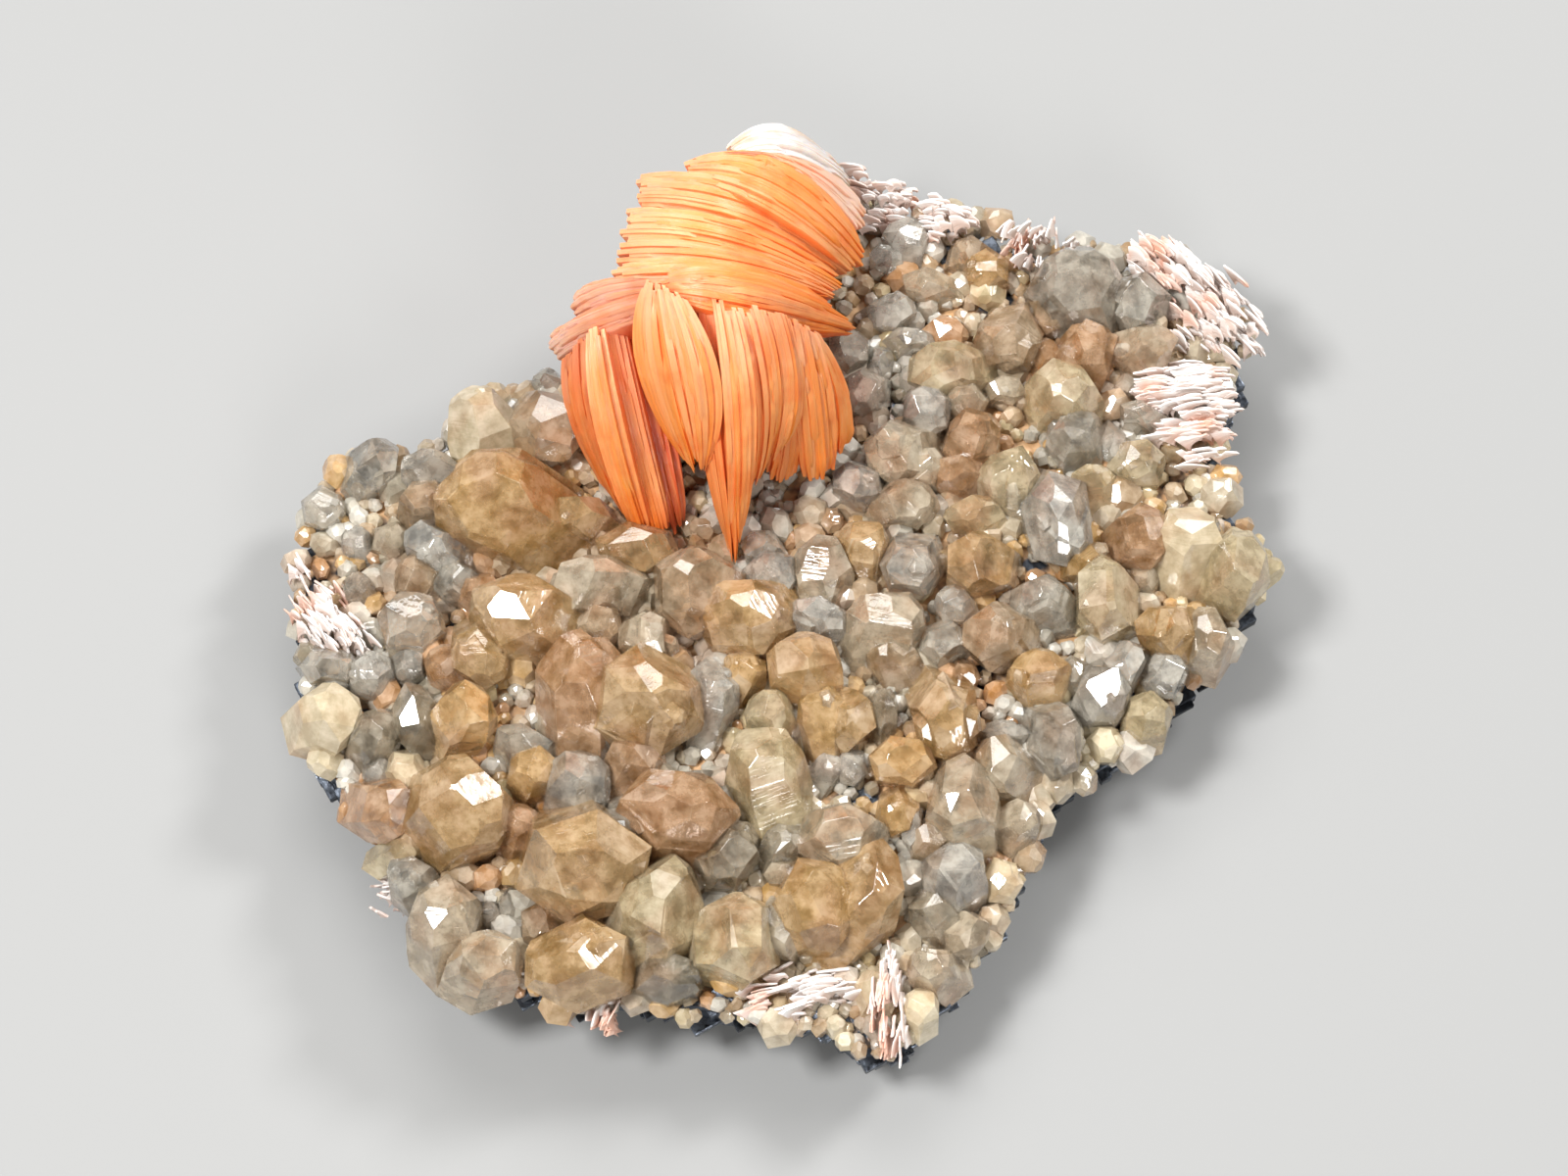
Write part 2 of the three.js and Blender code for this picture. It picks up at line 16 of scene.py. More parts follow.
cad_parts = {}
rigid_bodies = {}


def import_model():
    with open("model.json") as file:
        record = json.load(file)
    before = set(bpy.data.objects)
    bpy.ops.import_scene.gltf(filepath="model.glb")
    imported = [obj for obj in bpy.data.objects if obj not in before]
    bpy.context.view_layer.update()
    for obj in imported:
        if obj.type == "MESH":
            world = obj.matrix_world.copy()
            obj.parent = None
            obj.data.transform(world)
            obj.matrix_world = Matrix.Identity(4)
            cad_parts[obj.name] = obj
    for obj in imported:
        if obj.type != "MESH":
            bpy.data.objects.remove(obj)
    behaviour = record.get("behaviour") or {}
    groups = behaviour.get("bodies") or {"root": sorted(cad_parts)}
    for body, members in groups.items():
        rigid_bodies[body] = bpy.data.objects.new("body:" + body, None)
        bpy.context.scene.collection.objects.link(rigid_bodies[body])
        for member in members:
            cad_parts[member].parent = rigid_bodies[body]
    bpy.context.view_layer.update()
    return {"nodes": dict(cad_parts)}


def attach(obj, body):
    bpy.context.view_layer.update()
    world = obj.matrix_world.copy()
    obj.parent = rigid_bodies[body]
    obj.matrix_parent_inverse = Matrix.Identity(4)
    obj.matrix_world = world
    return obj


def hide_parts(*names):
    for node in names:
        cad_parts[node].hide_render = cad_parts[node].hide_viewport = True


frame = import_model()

BODY = "root"
MM = 0.001
log = logging.getLogger("specimen")

Colour = tuple[float, float, float]
Spot = tuple[float, float, float]
Span = tuple[float, float]


# The curve between a picture's colours and linear light
FULL = 255
CURVE_START = 0.04045
CURVE_SLOPE = 12.92
CURVE_SHIFT = 0.055
CURVE_SCALE = 1.055
CURVE_POWER = 2.4


def srgb(red: int, green: int, blue: int) -> Colour:
    """A colour as the picture shows it, in linear light.

    Args:
        red: its red, from 0 to 255.
        green: its green.
        blue: its blue.

    Returns:
        The colour, each part from 0 to 1.
    """
    shares = [value / FULL for value in (red, green, blue)]
    return tuple(
        s / CURVE_SLOPE if s <= CURVE_START else ((s + CURVE_SHIFT) / CURVE_SCALE) ** CURVE_POWER
        for s in shares)


def blend_colours(first: Colour, second: Colour, share: float) -> Colour:
    """The colour that lies a share of the way from the first to the second.

    Args:
        first: the colour at 0.
        second: the colour at 1.
        share: the share.

    Returns:
        The colour.
    """
    return tuple(a + (b - a) * share for a, b in zip(first, second))


def smooth(low: float, high: float, value: float) -> float:
    """0 below low, 1 above high, and a smooth rise between.

    Args:
        low: where the rise starts.
        high: where it ends.
        value: where it is read.

    Returns:
        A number from 0 to 1.
    """
    share = min(1.0, max(0.0, (value - low) / (high - low)))
    return share * share * (3 - 2 * share)


class Draw:
    """Draws numbers from 0 to 1, the same ones for the same seed."""

    MASK = 0xFFFFFFFF
    STEP = 0x6D2B79F5
    FILL = 61
    SHIFTS = (15, 7, 14)

    def __init__(self, seed: int) -> None:
        """Args:
            seed: any whole number.
        """
        self.state = seed & self.MASK

    def __call__(self) -> float:
        """The next number.

        Returns:
            A number from 0 to 1.
        """
        self.state = (self.state + self.STEP) & self.MASK
        state = self.state
        early, middle, late = self.SHIFTS
        mixed = ((state ^ (state >> early)) * (state | 1)) & self.MASK
        again = ((mixed ^ (mixed >> middle)) * (mixed | self.FILL)) & self.MASK
        mixed ^= (mixed + again) & self.MASK
        return ((mixed ^ (mixed >> late)) & self.MASK) / (self.MASK + 1)

    def between(self, low: float, high: float) -> float:
        """A number between two others.

        Args:
            low: the lower one.
            high: the higher one.

        Returns:
            The number.
        """
        return low + (high - low) * self()

    def either_way(self, reach: float) -> float:
        """A number from -reach to reach.

        Args:
            reach: how far it may be from 0.

        Returns:
            The number.
        """
        return self.between(-reach, reach)

    def pick(self, items: list) -> object:
        """One of the items.

        Args:
            items: what to pick from.

        Returns:
            The item.
        """
        return items[min(len(items) - 1, int(self() * len(items)))]


@dataclass(frozen=True)
class Picture:
    """How the reference picture looks at the specimen."""

    columns: int = 1600
    rows: int = 1200
    mm_per_pixel: float = 0.09
    elevation: float = 65.0
    distance: float = 400.0
    aim: Spot = (0.0, 4.0, 10.0)
    sensor: float = 36.0
    nearest: float = 0.01

    def axes(self) -> tuple[Vector, Vector]:
        """The way back to the eye and the picture's own up.

        Returns:
            Two unit vectors.
        """
        angle = math.radians(self.elevation)
        back = Vector((0, -math.cos(angle), math.sin(angle)))
        return back, Vector((0, math.sin(angle), math.cos(angle)))

    def at(self, column: float, row: float, height: float) -> Vector:
        """The point at a height above the rest that the picture shows at a column and row.

        Args:
            column: the column in pixels.
            row: the row in pixels.
            height: the height in millimetres.

        Returns:
            The point in millimetres.
        """
        back, up = self.axes()
        aim = Vector(self.aim)
        eye = aim + back * self.distance
        seen = aim + up * ((self.rows / 2 - row) * self.mm_per_pixel)
        seen.x += (column - self.columns / 2) * self.mm_per_pixel
        sight = seen - eye
        return eye + sight * ((height - eye.z) / sight.z)

    def camera(self) -> bpy.types.Object:
        """The camera, with the picture's frame.

        Returns:
            The camera, linked to the scene.
        """
        data = bpy.data.cameras.new("picture_camera")
        data.sensor_width = self.sensor
        data.lens = self.sensor * self.distance / (self.columns * self.mm_per_pixel)
        data.clip_start = self.nearest
        camera = bpy.data.objects.new("picture_camera", data)
        back, _ = self.axes()
        camera.location = (Vector(self.aim) + back * self.distance) * MM
        camera.rotation_euler = (math.radians(90 - self.elevation), 0, 0)
        bpy.context.scene.collection.objects.link(camera)
        return camera


PICTURE = Picture()


@dataclass(frozen=True)
class PlateTop:
    """The flats of the galena's top: the way each falls, its slope, and how far out it starts."""

    crown: float = 10.6
    flats: tuple[tuple[float, float, float], ...] = (
        (8, 0.1, 22), (62, 0.07, 24), (118, 0.1, 26), (172, 0.13, 27),
        (222, 0.12, 26), (270, 0.11, 22), (322, 0.17, 20),
    )

    def height(self, x: float, y: float) -> float:
        """How high the top is over a point of the plan.

        Args:
            x: how far right, in millimetres.
            y: how far back, in millimetres.

        Returns:
            The height in millimetres.
        """
        level = self.crown
        for heading, slope, start in self.flats:
            angle = math.radians(heading)
            out = x * math.cos(angle) + y * math.sin(angle)
            level = min(level, self.crown - slope * (out - start))
        return level

    def seen(self, column: float, row: float) -> Vector:
        """The point of the top that the picture shows at a column and row.

        Args:
            column: the column in pixels.
            row: the row in pixels.

        Returns:
            The point in millimetres.
        """
        below = PICTURE.at(column, row, self.crown)
        return PICTURE.at(column, row, self.height(below.x, below.y))


TOP = PlateTop()
SEAM = 0.3

# The plate's outline in the picture, as column and row, clockwise from the left
OUTLINE = [
    (300, 600), (305, 560), (330, 505), (362, 462), (397, 458), (432, 462), (460, 448), (468, 412),
    (500, 402), (545, 402), (580, 392), (622, 345), (702, 272), (780, 215), (838, 188), (880, 186),
    (920, 208), (970, 222), (1033, 236), (1100, 252), (1175, 260), (1222, 284), (1266, 315),
    (1276, 358), (1248, 402), (1244, 450), (1250, 488), (1262, 525), (1294, 566), (1292, 602),
    (1262, 624), (1254, 662), (1205, 710), (1150, 772), (1090, 808), (1056, 860), (1032, 930),
    (1003, 975), (960, 1032), (916, 1082), (872, 1082), (840, 1054), (740, 1044), (660, 1034),
    (560, 1022), (472, 1006), (438, 968), (402, 882), (352, 828), (314, 765), (308, 700),
]


def inside_outline(column: float, row: float) -> bool:
    """Whether the picture shows the plate at a column and row.

    Args:
        column: the column in pixels.
        row: the row in pixels.

    Returns:
        True inside the outline.
    """
    inside = False
    for (c1, r1), (c2, r2) in zip(OUTLINE, OUTLINE[1:] + OUTLINE[:1]):
        if (r1 > row) != (r2 > row) and column < c1 + (c2 - c1) * (row - r1) / (r2 - r1):
            inside = not inside
    return inside


class Value:
    """A socket of a node tree, whose operators add the Math nodes that work them out."""

    def __init__(self, tree: bpy.types.NodeTree, socket: bpy.types.NodeSocket) -> None:
        """Args:
            tree: the tree that the socket is in.
            socket: an output socket.
        """
        self.tree = tree
        self.socket = socket

    def _math(self, operation: str, other: object) -> "Value":
        """A Math node on this value and another.

        Args:
            operation: the node's operation.
            other: a Value or a number.

        Returns:
            The node's result.
        """
        node = self.tree.nodes.new("ShaderNodeMath")
        node.operation = operation
        for place, value in zip(node.inputs, (self, other)):
            feed(self.tree, place, value)
        return Value(self.tree, node.outputs[0])

    def __add__(self, other: object) -> "Value":
        """The sum.

        Args:
            other: a Value or a number.

        Returns:
            The sum of the two.
        """
        return self._math("ADD", other)

    def __mul__(self, other: object) -> "Value":
        """The product.

        Args:
            other: a Value or a number.

        Returns:
            The product of the two.
        """
        return self._math("MULTIPLY", other)


def feed(tree: bpy.types.NodeTree, socket: bpy.types.NodeSocket, value: object) -> None:
    """Sets a socket to a plain value, or links it to another socket.

    Args:
        tree: the tree that the socket is in.
        socket: the input.
        value: a Value, or what the socket's default takes.
    """
    if isinstance(value, Value):
        tree.links.new(value.socket, socket)
    else:
        socket.default_value = value


def add_node(tree: bpy.types.NodeTree, kind: str, settings: dict | None = None,
             sockets: dict | None = None) -> bpy.types.Node:
    """A node with its settings, which are set first, and the values or links of its sockets.

    Args:
        tree: the tree that it goes in.
        kind: the node's type.
        settings: the node's own properties by name.
        sockets: what each input gets, by name or number.

    Returns:
        The node.
    """
    node = tree.nodes.new(kind)
    for name, value in (settings or {}).items():
        setattr(node, name, value)
    for name, value in (sockets or {}).items():
        feed(tree, node.inputs[name], value)
    return node


class Nodes:
    """A node tree under construction."""

    tree: bpy.types.NodeTree

    def value(self, kind: str, settings: dict | None = None, sockets: dict | None = None,
              output: int | str = 0) -> Value:
        """Adds a node.

        Args:
            kind: the node's type.
            settings: the node's own properties by name.
            sockets: what each input gets, by name or number.
            output: the output that is wanted, by name or number.

        Returns:
            That output.
        """
        return Value(self.tree, add_node(self.tree, kind, settings, sockets).outputs[output])


class Finish(Nodes):
    """A material under construction, with a surface shader."""

    def __init__(self, name: str) -> None:
        """Args:
            name: the material's name.
        """
        self.material = bpy.data.materials.new(name)
        self.material.use_nodes = True
        self.tree = self.material.node_tree
        self.tree.nodes.clear()
        self.output = add_node(self.tree, "ShaderNodeOutputMaterial")

    def place(self) -> Value:
        """The point's place on the object, in metres.

        Returns:
            The place.
        """
        return self.value("ShaderNodeTexCoord", output="Object")

    def attribute(self, name: str, output: str = "Color") -> Value:
        """A value that the mesh carries.

        Args:
            name: the attribute's name.
            output: the node's output.

        Returns:
            The value.
        """
        return self.value("ShaderNodeAttribute", {"attribute_name": name}, output=output)

    def stretched(self, place: Value, scale: Spot) -> Value:
        """A place stretched along its axes.

        Args:
            place: the place.
            scale: the factor on each axis.

        Returns:
            The new place.
        """
        return self.value("ShaderNodeMapping", {"vector_type": "POINT"},
                          {"Vector": place, "Scale": scale})

    def noise(self, place: Value, scale: float, detail: float = 3.0, rough: float = 0.55) -> Value:
        """Soft noise, with scale in features a metre.

        Args:
            place: where it is read.
            scale: how fine it is.
            detail: how many finer layers it has.
            rough: how strong those are.

        Returns:
            The noise, from 0 to 1.
        """
        return self.value("ShaderNodeTexNoise", None, {
            "Vector": place, "Scale": scale, "Detail": detail, "Roughness": rough})

    def rise(self, value: Value, low: float, high: float, start: float = 0.0,
             end: float = 1.0) -> Value:
        """A value stretched from one range to another and held there.

        Args:
            value: the value.
            low: the start of its range.
            high: the end of its range.
            start: the result at low.
            end: the result at high.

        Returns:
            The new value.
        """
        return self.value("ShaderNodeMapRange", {"clamp": True}, {
            "Value": value, "From Min": low, "From Max": high, "To Min": start, "To Max": end})

    def mix(self, share: Value | float, first: object, second: object,
            blend: str = "MIX") -> Value:
        """A colour between two others.

        Args:
            share: how much of the second.
            first: a Value or a colour.
            second: a Value or a colour.
            blend: how they blend.

        Returns:
            The colour.
        """
        node = add_node(self.tree, "ShaderNodeMix", {"data_type": "RGBA", "blend_type": blend})
        sockets = [s for s in node.inputs if s.type == "RGBA"]
        feed(self.tree, node.inputs[0], share)
        for socket, colour in zip(sockets, (first, second)):
            feed(self.tree, socket, colour if isinstance(colour, Value) else (*colour, 1.0))
        return Value(self.tree, next(s for s in node.outputs if s.type == "RGBA"))

    def bump(self, height: Value, distance: float, strength: float = 1.0,
             before: Value | None = None) -> Value:
        """A normal that a height bends. distance is in metres.

        Args:
            height: the height, from 0 to 1.
            distance: how high 1 is.
            strength: how much counts.
            before: a normal to start from.

        Returns:
            The normal.
        """
        sockets = {"Height": height, "Distance": distance, "Strength": strength}
        if before is not None:
            sockets["Normal"] = before
        return self.value("ShaderNodeBump", None, sockets)

    def shader(self, sockets: dict) -> Value:
        """A surface shader that isn't the last.

        Args:
            sockets: what the shader's inputs get.

        Returns:
            The shader.
        """
        return self.value("ShaderNodeBsdfPrincipled", None, sockets)

    def surface(self, sockets: dict) -> bpy.types.Material:
        """Finishes the material with one shader.

        Args:
            sockets: what the shader's inputs get.

        Returns:
            The material.
        """
        feed(self.tree, self.output.inputs["Surface"], self.shader(sockets))
        return self.material


WHITE = (1.0, 1.0, 1.0)


class Clarity(Enum):
    """How much a crystal lets through."""

    CLEAR = 0
    CLOUDY = 1
    CHALKY = 2


class Tint(Enum):
    """The colours of the crystals, each with its clarity."""

    HONEY = (srgb(236, 184, 102), Clarity.CLOUDY)
    AMBER = (srgb(222, 158, 90), Clarity.CLOUDY)
    BROWN = (srgb(204, 168, 122), Clarity.CLOUDY)
    GREY = (srgb(218, 210, 192), Clarity.CLEAR)
    PALE = (srgb(242, 236, 222), Clarity.CLEAR)
    CREAM = (srgb(234, 214, 172), Clarity.CHALKY)
    SMOKY = (srgb(184, 170, 142), Clarity.CLEAR)
    STRAW = (srgb(238, 214, 160), Clarity.CLOUDY)
    BEIGE = (srgb(222, 202, 168), Clarity.CLOUDY)

    @property
    def colour(self) -> Colour:
        """The tint's colour.

        Returns:
            The colour, in linear light.
        """
        return self.value[0]

    @property
    def clarity(self) -> Clarity:
        """The tint's clarity.

        Returns:
            The clarity.
        """
        return self.value[1]


@dataclass(frozen=True)
class CerussiteFinish:
    """Cerussite: bright faces over a see-through or cloudy body."""

    clarity: Clarity
    milk: Span
    stain: float
    density: float
    absorbed: Colour = srgb(238, 212, 170)
    amber: Colour = srgb(204, 138, 72)
    frost_and_sheen_colour: Colour = srgb(232, 226, 212)
    index: float = 1.9
    whiteness: float = 0.6
    patch_scale: float = 210.0
    veil_scale: float = 520.0
    ripple_scale: float = 800.0
    glint_scale: float = 900.0
    line_stretch: Spot = (0.25, 0.25, 4.0)
    line_height: float = 0.00012
    ripple_height: float = 0.0001

    def make(self) -> bpy.types.Material:
        """The material, which reads the mesh's tint, each crystal's own place and each face's luck.

        Returns:
            The material.
        """
        finish = Finish(f"cerussite_{self.clarity.name.lower()}")
        place = finish.place()
        own = finish.attribute("own", "Vector")
        tint = finish.attribute("tint")
        luck = finish.attribute("luck", "Fac")
        depths = finish.rise(finish.noise(place, self.patch_scale, 2), 0.46, 0.68, 0, self.stain)
        colour = finish.mix(depths, tint, self.amber)
        # Random faces are rougher from frost, and whiter, which is partly frost and partly a painted
        # sheen in the colour
        frost_and_sheen_share = finish.rise(luck, 0.6, 1.0)
        veils = finish.rise(finish.noise(place, self.veil_scale, 5, 0.65), 0.36, 0.66)
        pale = finish.mix(veils * 0.3 + frost_and_sheen_share * 0.2, colour, self.frost_and_sheen_colour)
        glint = finish.rise(finish.noise(place, self.glint_scale, 2), 0.4, 0.75, 0.01, 0.1)
        rough = glint + frost_and_sheen_share * 0.18
        lines = finish.noise(finish.stretched(own, self.line_stretch), 1.0, 2)
        normal = finish.bump(lines * finish.rise(luck, 0.35, 0.7), self.line_height, 0.4)
        ripples = finish.noise(place, self.ripple_scale, 2)
        normal = finish.bump(ripples, self.ripple_height, 0.25, normal)
        clear = finish.shader({
            "Base Color": finish.mix(self.whiteness, colour, WHITE), "Roughness": rough,
            "IOR": self.index, "Transmission Weight": 1.0, "Normal": normal,
        })
        milky = finish.shader({
            "Base Color": pale, "Roughness": rough, "IOR": self.index, "Normal": normal,
        })
        low, high = self.milk
        share = finish.rise(veils * 0.7 + luck * 0.3, 0.1, 0.9, low, high)
        mixed = finish.value("ShaderNodeMixShader", None, {0: share, 1: clear, 2: milky})
        feed(finish.tree, finish.output.inputs["Surface"], mixed)
        if self.clarity is Clarity.CLEAR:
            absorption = finish.value("ShaderNodeVolumeAbsorption", None, {
                "Color": (*self.absorbed, 1.0), "Density": self.density})
            feed(finish.tree, finish.output.inputs["Volume"], absorption)
        return finish.material


@dataclass(frozen=True)
class GalenaFinish:
    """Galena: dark lead grey metal, bright on fresh cleavage and dull where it weathered."""

    name: str = "galena"
    bright: Colour = srgb(118, 126, 138)
    dull: Colour = srgb(46, 49, 54)
    specks: Colour = srgb(30, 31, 35)
    crust: Colour = srgb(226, 190, 146)
    deep_crust: Colour = srgb(190, 142, 96)
    patch_scale: float = 150.0
    crust_scale: float = 260.0
    cell_scale: float = 620.0
    grain_scale: float = 1500.0
    cell_height: float = 0.0003
    grain_height: float = 0.0002
    metallic: float = 0.85

    def make(self) -> bpy.types.Material:
        """The material.

        Returns:
            The finished material.
        """
        finish = Finish(self.name)
        place = finish.place()
        patches = finish.rise(finish.noise(place, self.patch_scale, 4), 0.38, 0.66)
        grain = finish.noise(place, self.grain_scale, 4)
        cells = finish.value("ShaderNodeTexVoronoi", {"distance": "CHEBYCHEV"}, {
            "Vector": place, "Scale": self.cell_scale}, "Distance")
        colour = finish.mix(patches, self.dull, self.bright)
        colour = finish.mix(finish.rise(grain, 0.45, 0.7), colour, self.specks)
        rough = finish.rise(patches + grain * 0.4, 0.3, 1.3, 0.52, 0.2)
        normal = finish.bump(cells, self.cell_height, 0.5)
        normal = finish.bump(grain, self.grain_height, 0.5, normal)
        crust = (finish.attribute("crust", "Fac")
                 * finish.rise(finish.noise(place, self.crust_scale, 3), 0.4, 0.5))
        warm = finish.mix(grain, self.crust, self.deep_crust)
        return finish.surface({
            "Base Color": finish.mix(crust, colour, warm),
            "Metallic": (crust * -1.0 + 1.0) * self.metallic,
            "Roughness": rough,
            "Normal": normal,
        })


@dataclass(frozen=True)
class BariteFinish:
    """Barite: soft, waxy and glowing, coloured by the mesh's tint."""

    name: str
    glow: Spot
    subsurface: float
    roughness: Span
    streaks: Colour
    stain: Colour
    index: float = 1.63
    glow_depth: float = 0.0012
    streak_stretch: Spot = (0.1, 0.5, 2.6)
    stain_scale: float = 190.0
    cloud_scale: float = 330.0
    grain_scale: float = 2400.0
    streak_height: float = 0.0003
    grain_height: float = 0.00008

    def make(self) -> bpy.types.Material:
        """The material, whose streaks follow each blade's own length.

        Returns:
            The material.
        """
        finish = Finish(self.name)
        place = finish.place()
        own = finish.attribute("own", "Vector")
        tint = finish.attribute("tint")
        lines = finish.noise(finish.stretched(own, self.streak_stretch), 1.4, 4)
        clouds = finish.noise(place, self.cloud_scale, 4)
        colour = finish.mix(finish.rise(lines, 0.45, 0.75, 0, 0.5), tint, self.streaks)
        stained = finish.rise(finish.noise(place, self.stain_scale, 3), 0.5, 0.66, 0, 0.75)
        colour = finish.mix(stained, colour, self.stain, "MULTIPLY")
        rough = finish.rise(clouds, 0.35, 0.65, *self.roughness)
        normal = finish.bump(lines, self.streak_height, 0.5)
        grain = finish.noise(place, self.grain_scale, 3)
        normal = finish.bump(grain, self.grain_height, 0.4, normal)
        return finish.surface({
            "Base Color": colour,
            "Roughness": rough,
            "Subsurface Weight": self.subsurface,
            "Subsurface Radius": self.glow,
            "Subsurface Scale": self.glow_depth,
            "IOR": self.index,
            "Normal": normal,
        })


class Draft:
    """A mesh under construction: points in millimetres, faces, and a tint and an own place for each
    point."""

    def __init__(self) -> None:
        """Starts empty."""
        self.points: list[Vector] = []
        self.faces: list[list[int]] = []
        self.tints: list[Colour] = []
        self.owns: list[Vector] = []
        self.kinds: list[int] = []
        self.luck = Draw(17)

    def add(self, points: list, faces: list, tints: list, owns: list, kind: int = 0) -> None:
        """Adds a closed shape.

        Args:
            points: its corners in millimetres.
            faces: its faces, as numbers of its own corners, wound outwards.
            tints: a colour for each corner.
            owns: each corner's place in the shape's own axes, in millimetres.
            kind: the number of its material.
        """
        start = len(self.points)
        self.points.extend(points)
        self.faces.extend([start + i for i in face] for face in faces)
        self.tints.extend(tints)
        self.owns.extend(owns)
        self.kinds.extend([kind] * len(faces))

    def mesh(self, name: str, materials: list[bpy.types.Material]) -> bpy.types.Mesh:
        """The finished mesh, in metres.

        Args:
            name: its name.
            materials: its materials, in the order of their kinds.

        Returns:
            The mesh.
        """
        data = bpy.data.meshes.new(name)
        data.from_pydata([tuple(p * MM for p in point) for point in self.points], [], self.faces)
        tint = data.attributes.new("tint", "FLOAT_COLOR", "POINT")
        tint.data.foreach_set("color", np.array([(*t, 1.0) for t in self.tints], np.float32).ravel())
        own = data.attributes.new("own", "FLOAT_VECTOR", "POINT")
        own.data.foreach_set("vector", np.array([tuple(o) for o in self.owns], np.float32).ravel())
        luck = data.attributes.new("luck", "FLOAT", "FACE")
        luck.data.foreach_set("value", [self.luck() for _ in self.faces])
        for material in materials:
            data.materials.append(material)
        data.polygons.foreach_set("material_index", self.kinds)
        data.validate()
        data.update()
        return data

    def piece(self, name: str, materials: list[bpy.types.Material],
              sharp: float | None = None) -> bpy.types.Object:
        """The finished object, at the origin.

        Args:
            name: its name.
            materials: its materials, in the order of their kinds.
            sharp: the angle in degrees past which an edge stays sharp, or None for flat faces.

        Returns:
            The object.
        """
        made = bpy.data.objects.new(name, self.mesh(name, materials))
        bpy.context.scene.collection.objects.link(made)
        if sharp is not None:
            made.data.polygons.foreach_set("use_smooth", [True] * len(made.data.polygons))
            made.data.set_sharp_from_angle(angle=math.radians(sharp))
        return made


FLAT_ENOUGH = math.radians(0.8)
SMALLEST_DETERMINANT = 1e-4
ON_THE_PLANE = 1e-6
DECIMALS = 3
FULL_TURN = 6.28
MERGED = 0.05


@lru_cache(maxsize=None)
def triples(count: int) -> np.ndarray:
    """Every three of a number of faces.

    Args:
        count: the number of faces.

    Returns:
        A row for each three.
    """
    return np.array(list(itertools.combinations(range(count), 3)))


def body_inside(normals: np.ndarray, reaches: np.ndarray, edge: float = 0.0) -> tuple[list, list]:
    """The convex body inside a set of planes.

    Args:
        normals: each plane's outward normal.
        reaches: how far each plane is from the origin.
        edge: how wide its edges are broken, or 0 to leave them sharp.

    Returns:
        The corners, and each face as numbers of its corners, wound outwards.
    """
    chosen = triples(len(normals))
    matrices = normals[chosen]
    solvable = np.abs(np.linalg.det(matrices)) > SMALLEST_DETERMINANT
    corners = np.linalg.solve(matrices[solvable], reaches[chosen[solvable]][..., None])[..., 0]
    corners = corners[(corners @ normals.T <= reaches + ON_THE_PLANE).all(axis=1)]
    corners = np.unique(np.round(corners, DECIMALS), axis=0)
    shape = bmesh.new()
    for corner in corners:
        shape.verts.new(corner)
    made = bmesh.ops.convex_hull(shape, input=list(shape.verts))
    loose = [item for item in made["geom_interior"] if isinstance(item, bmesh.types.BMVert)]
    bmesh.ops.delete(shape, geom=loose, context="VERTS")
    bmesh.ops.dissolve_limit(shape, angle_limit=FLAT_ENOUGH, verts=list(shape.verts),
                             edges=list(shape.edges))
    if edge > 0:
        bmesh.ops.bevel(shape, geom=list(shape.edges), offset=edge, segments=1, profile=0.5,
                        affect="EDGES", clamp_overlap=True)
        bmesh.ops.remove_doubles(shape, verts=list(shape.verts), dist=edge * MERGED)
    bmesh.ops.recalc_face_normals(shape, faces=list(shape.faces))
    shape.verts.index_update()
    points = [v.co.copy() for v in shape.verts]
    loops = [[v.index for v in face.verts] for face in shape.faces]
    shape.free()
    return points, loops


def direction(tilt: float, turn: float) -> Vector:
    """The way that a face looks when it tilts from the axis and turns around it, in degrees.

    Args:
        tilt: the tilt.
        turn: the turn.

    Returns:
        A unit vector.
    """
    lean, heading = math.radians(tilt), math.radians(turn)
    return Vector((math.sin(lean) * math.cos(heading), math.sin(lean) * math.sin(heading),
                   math.cos(lean)))


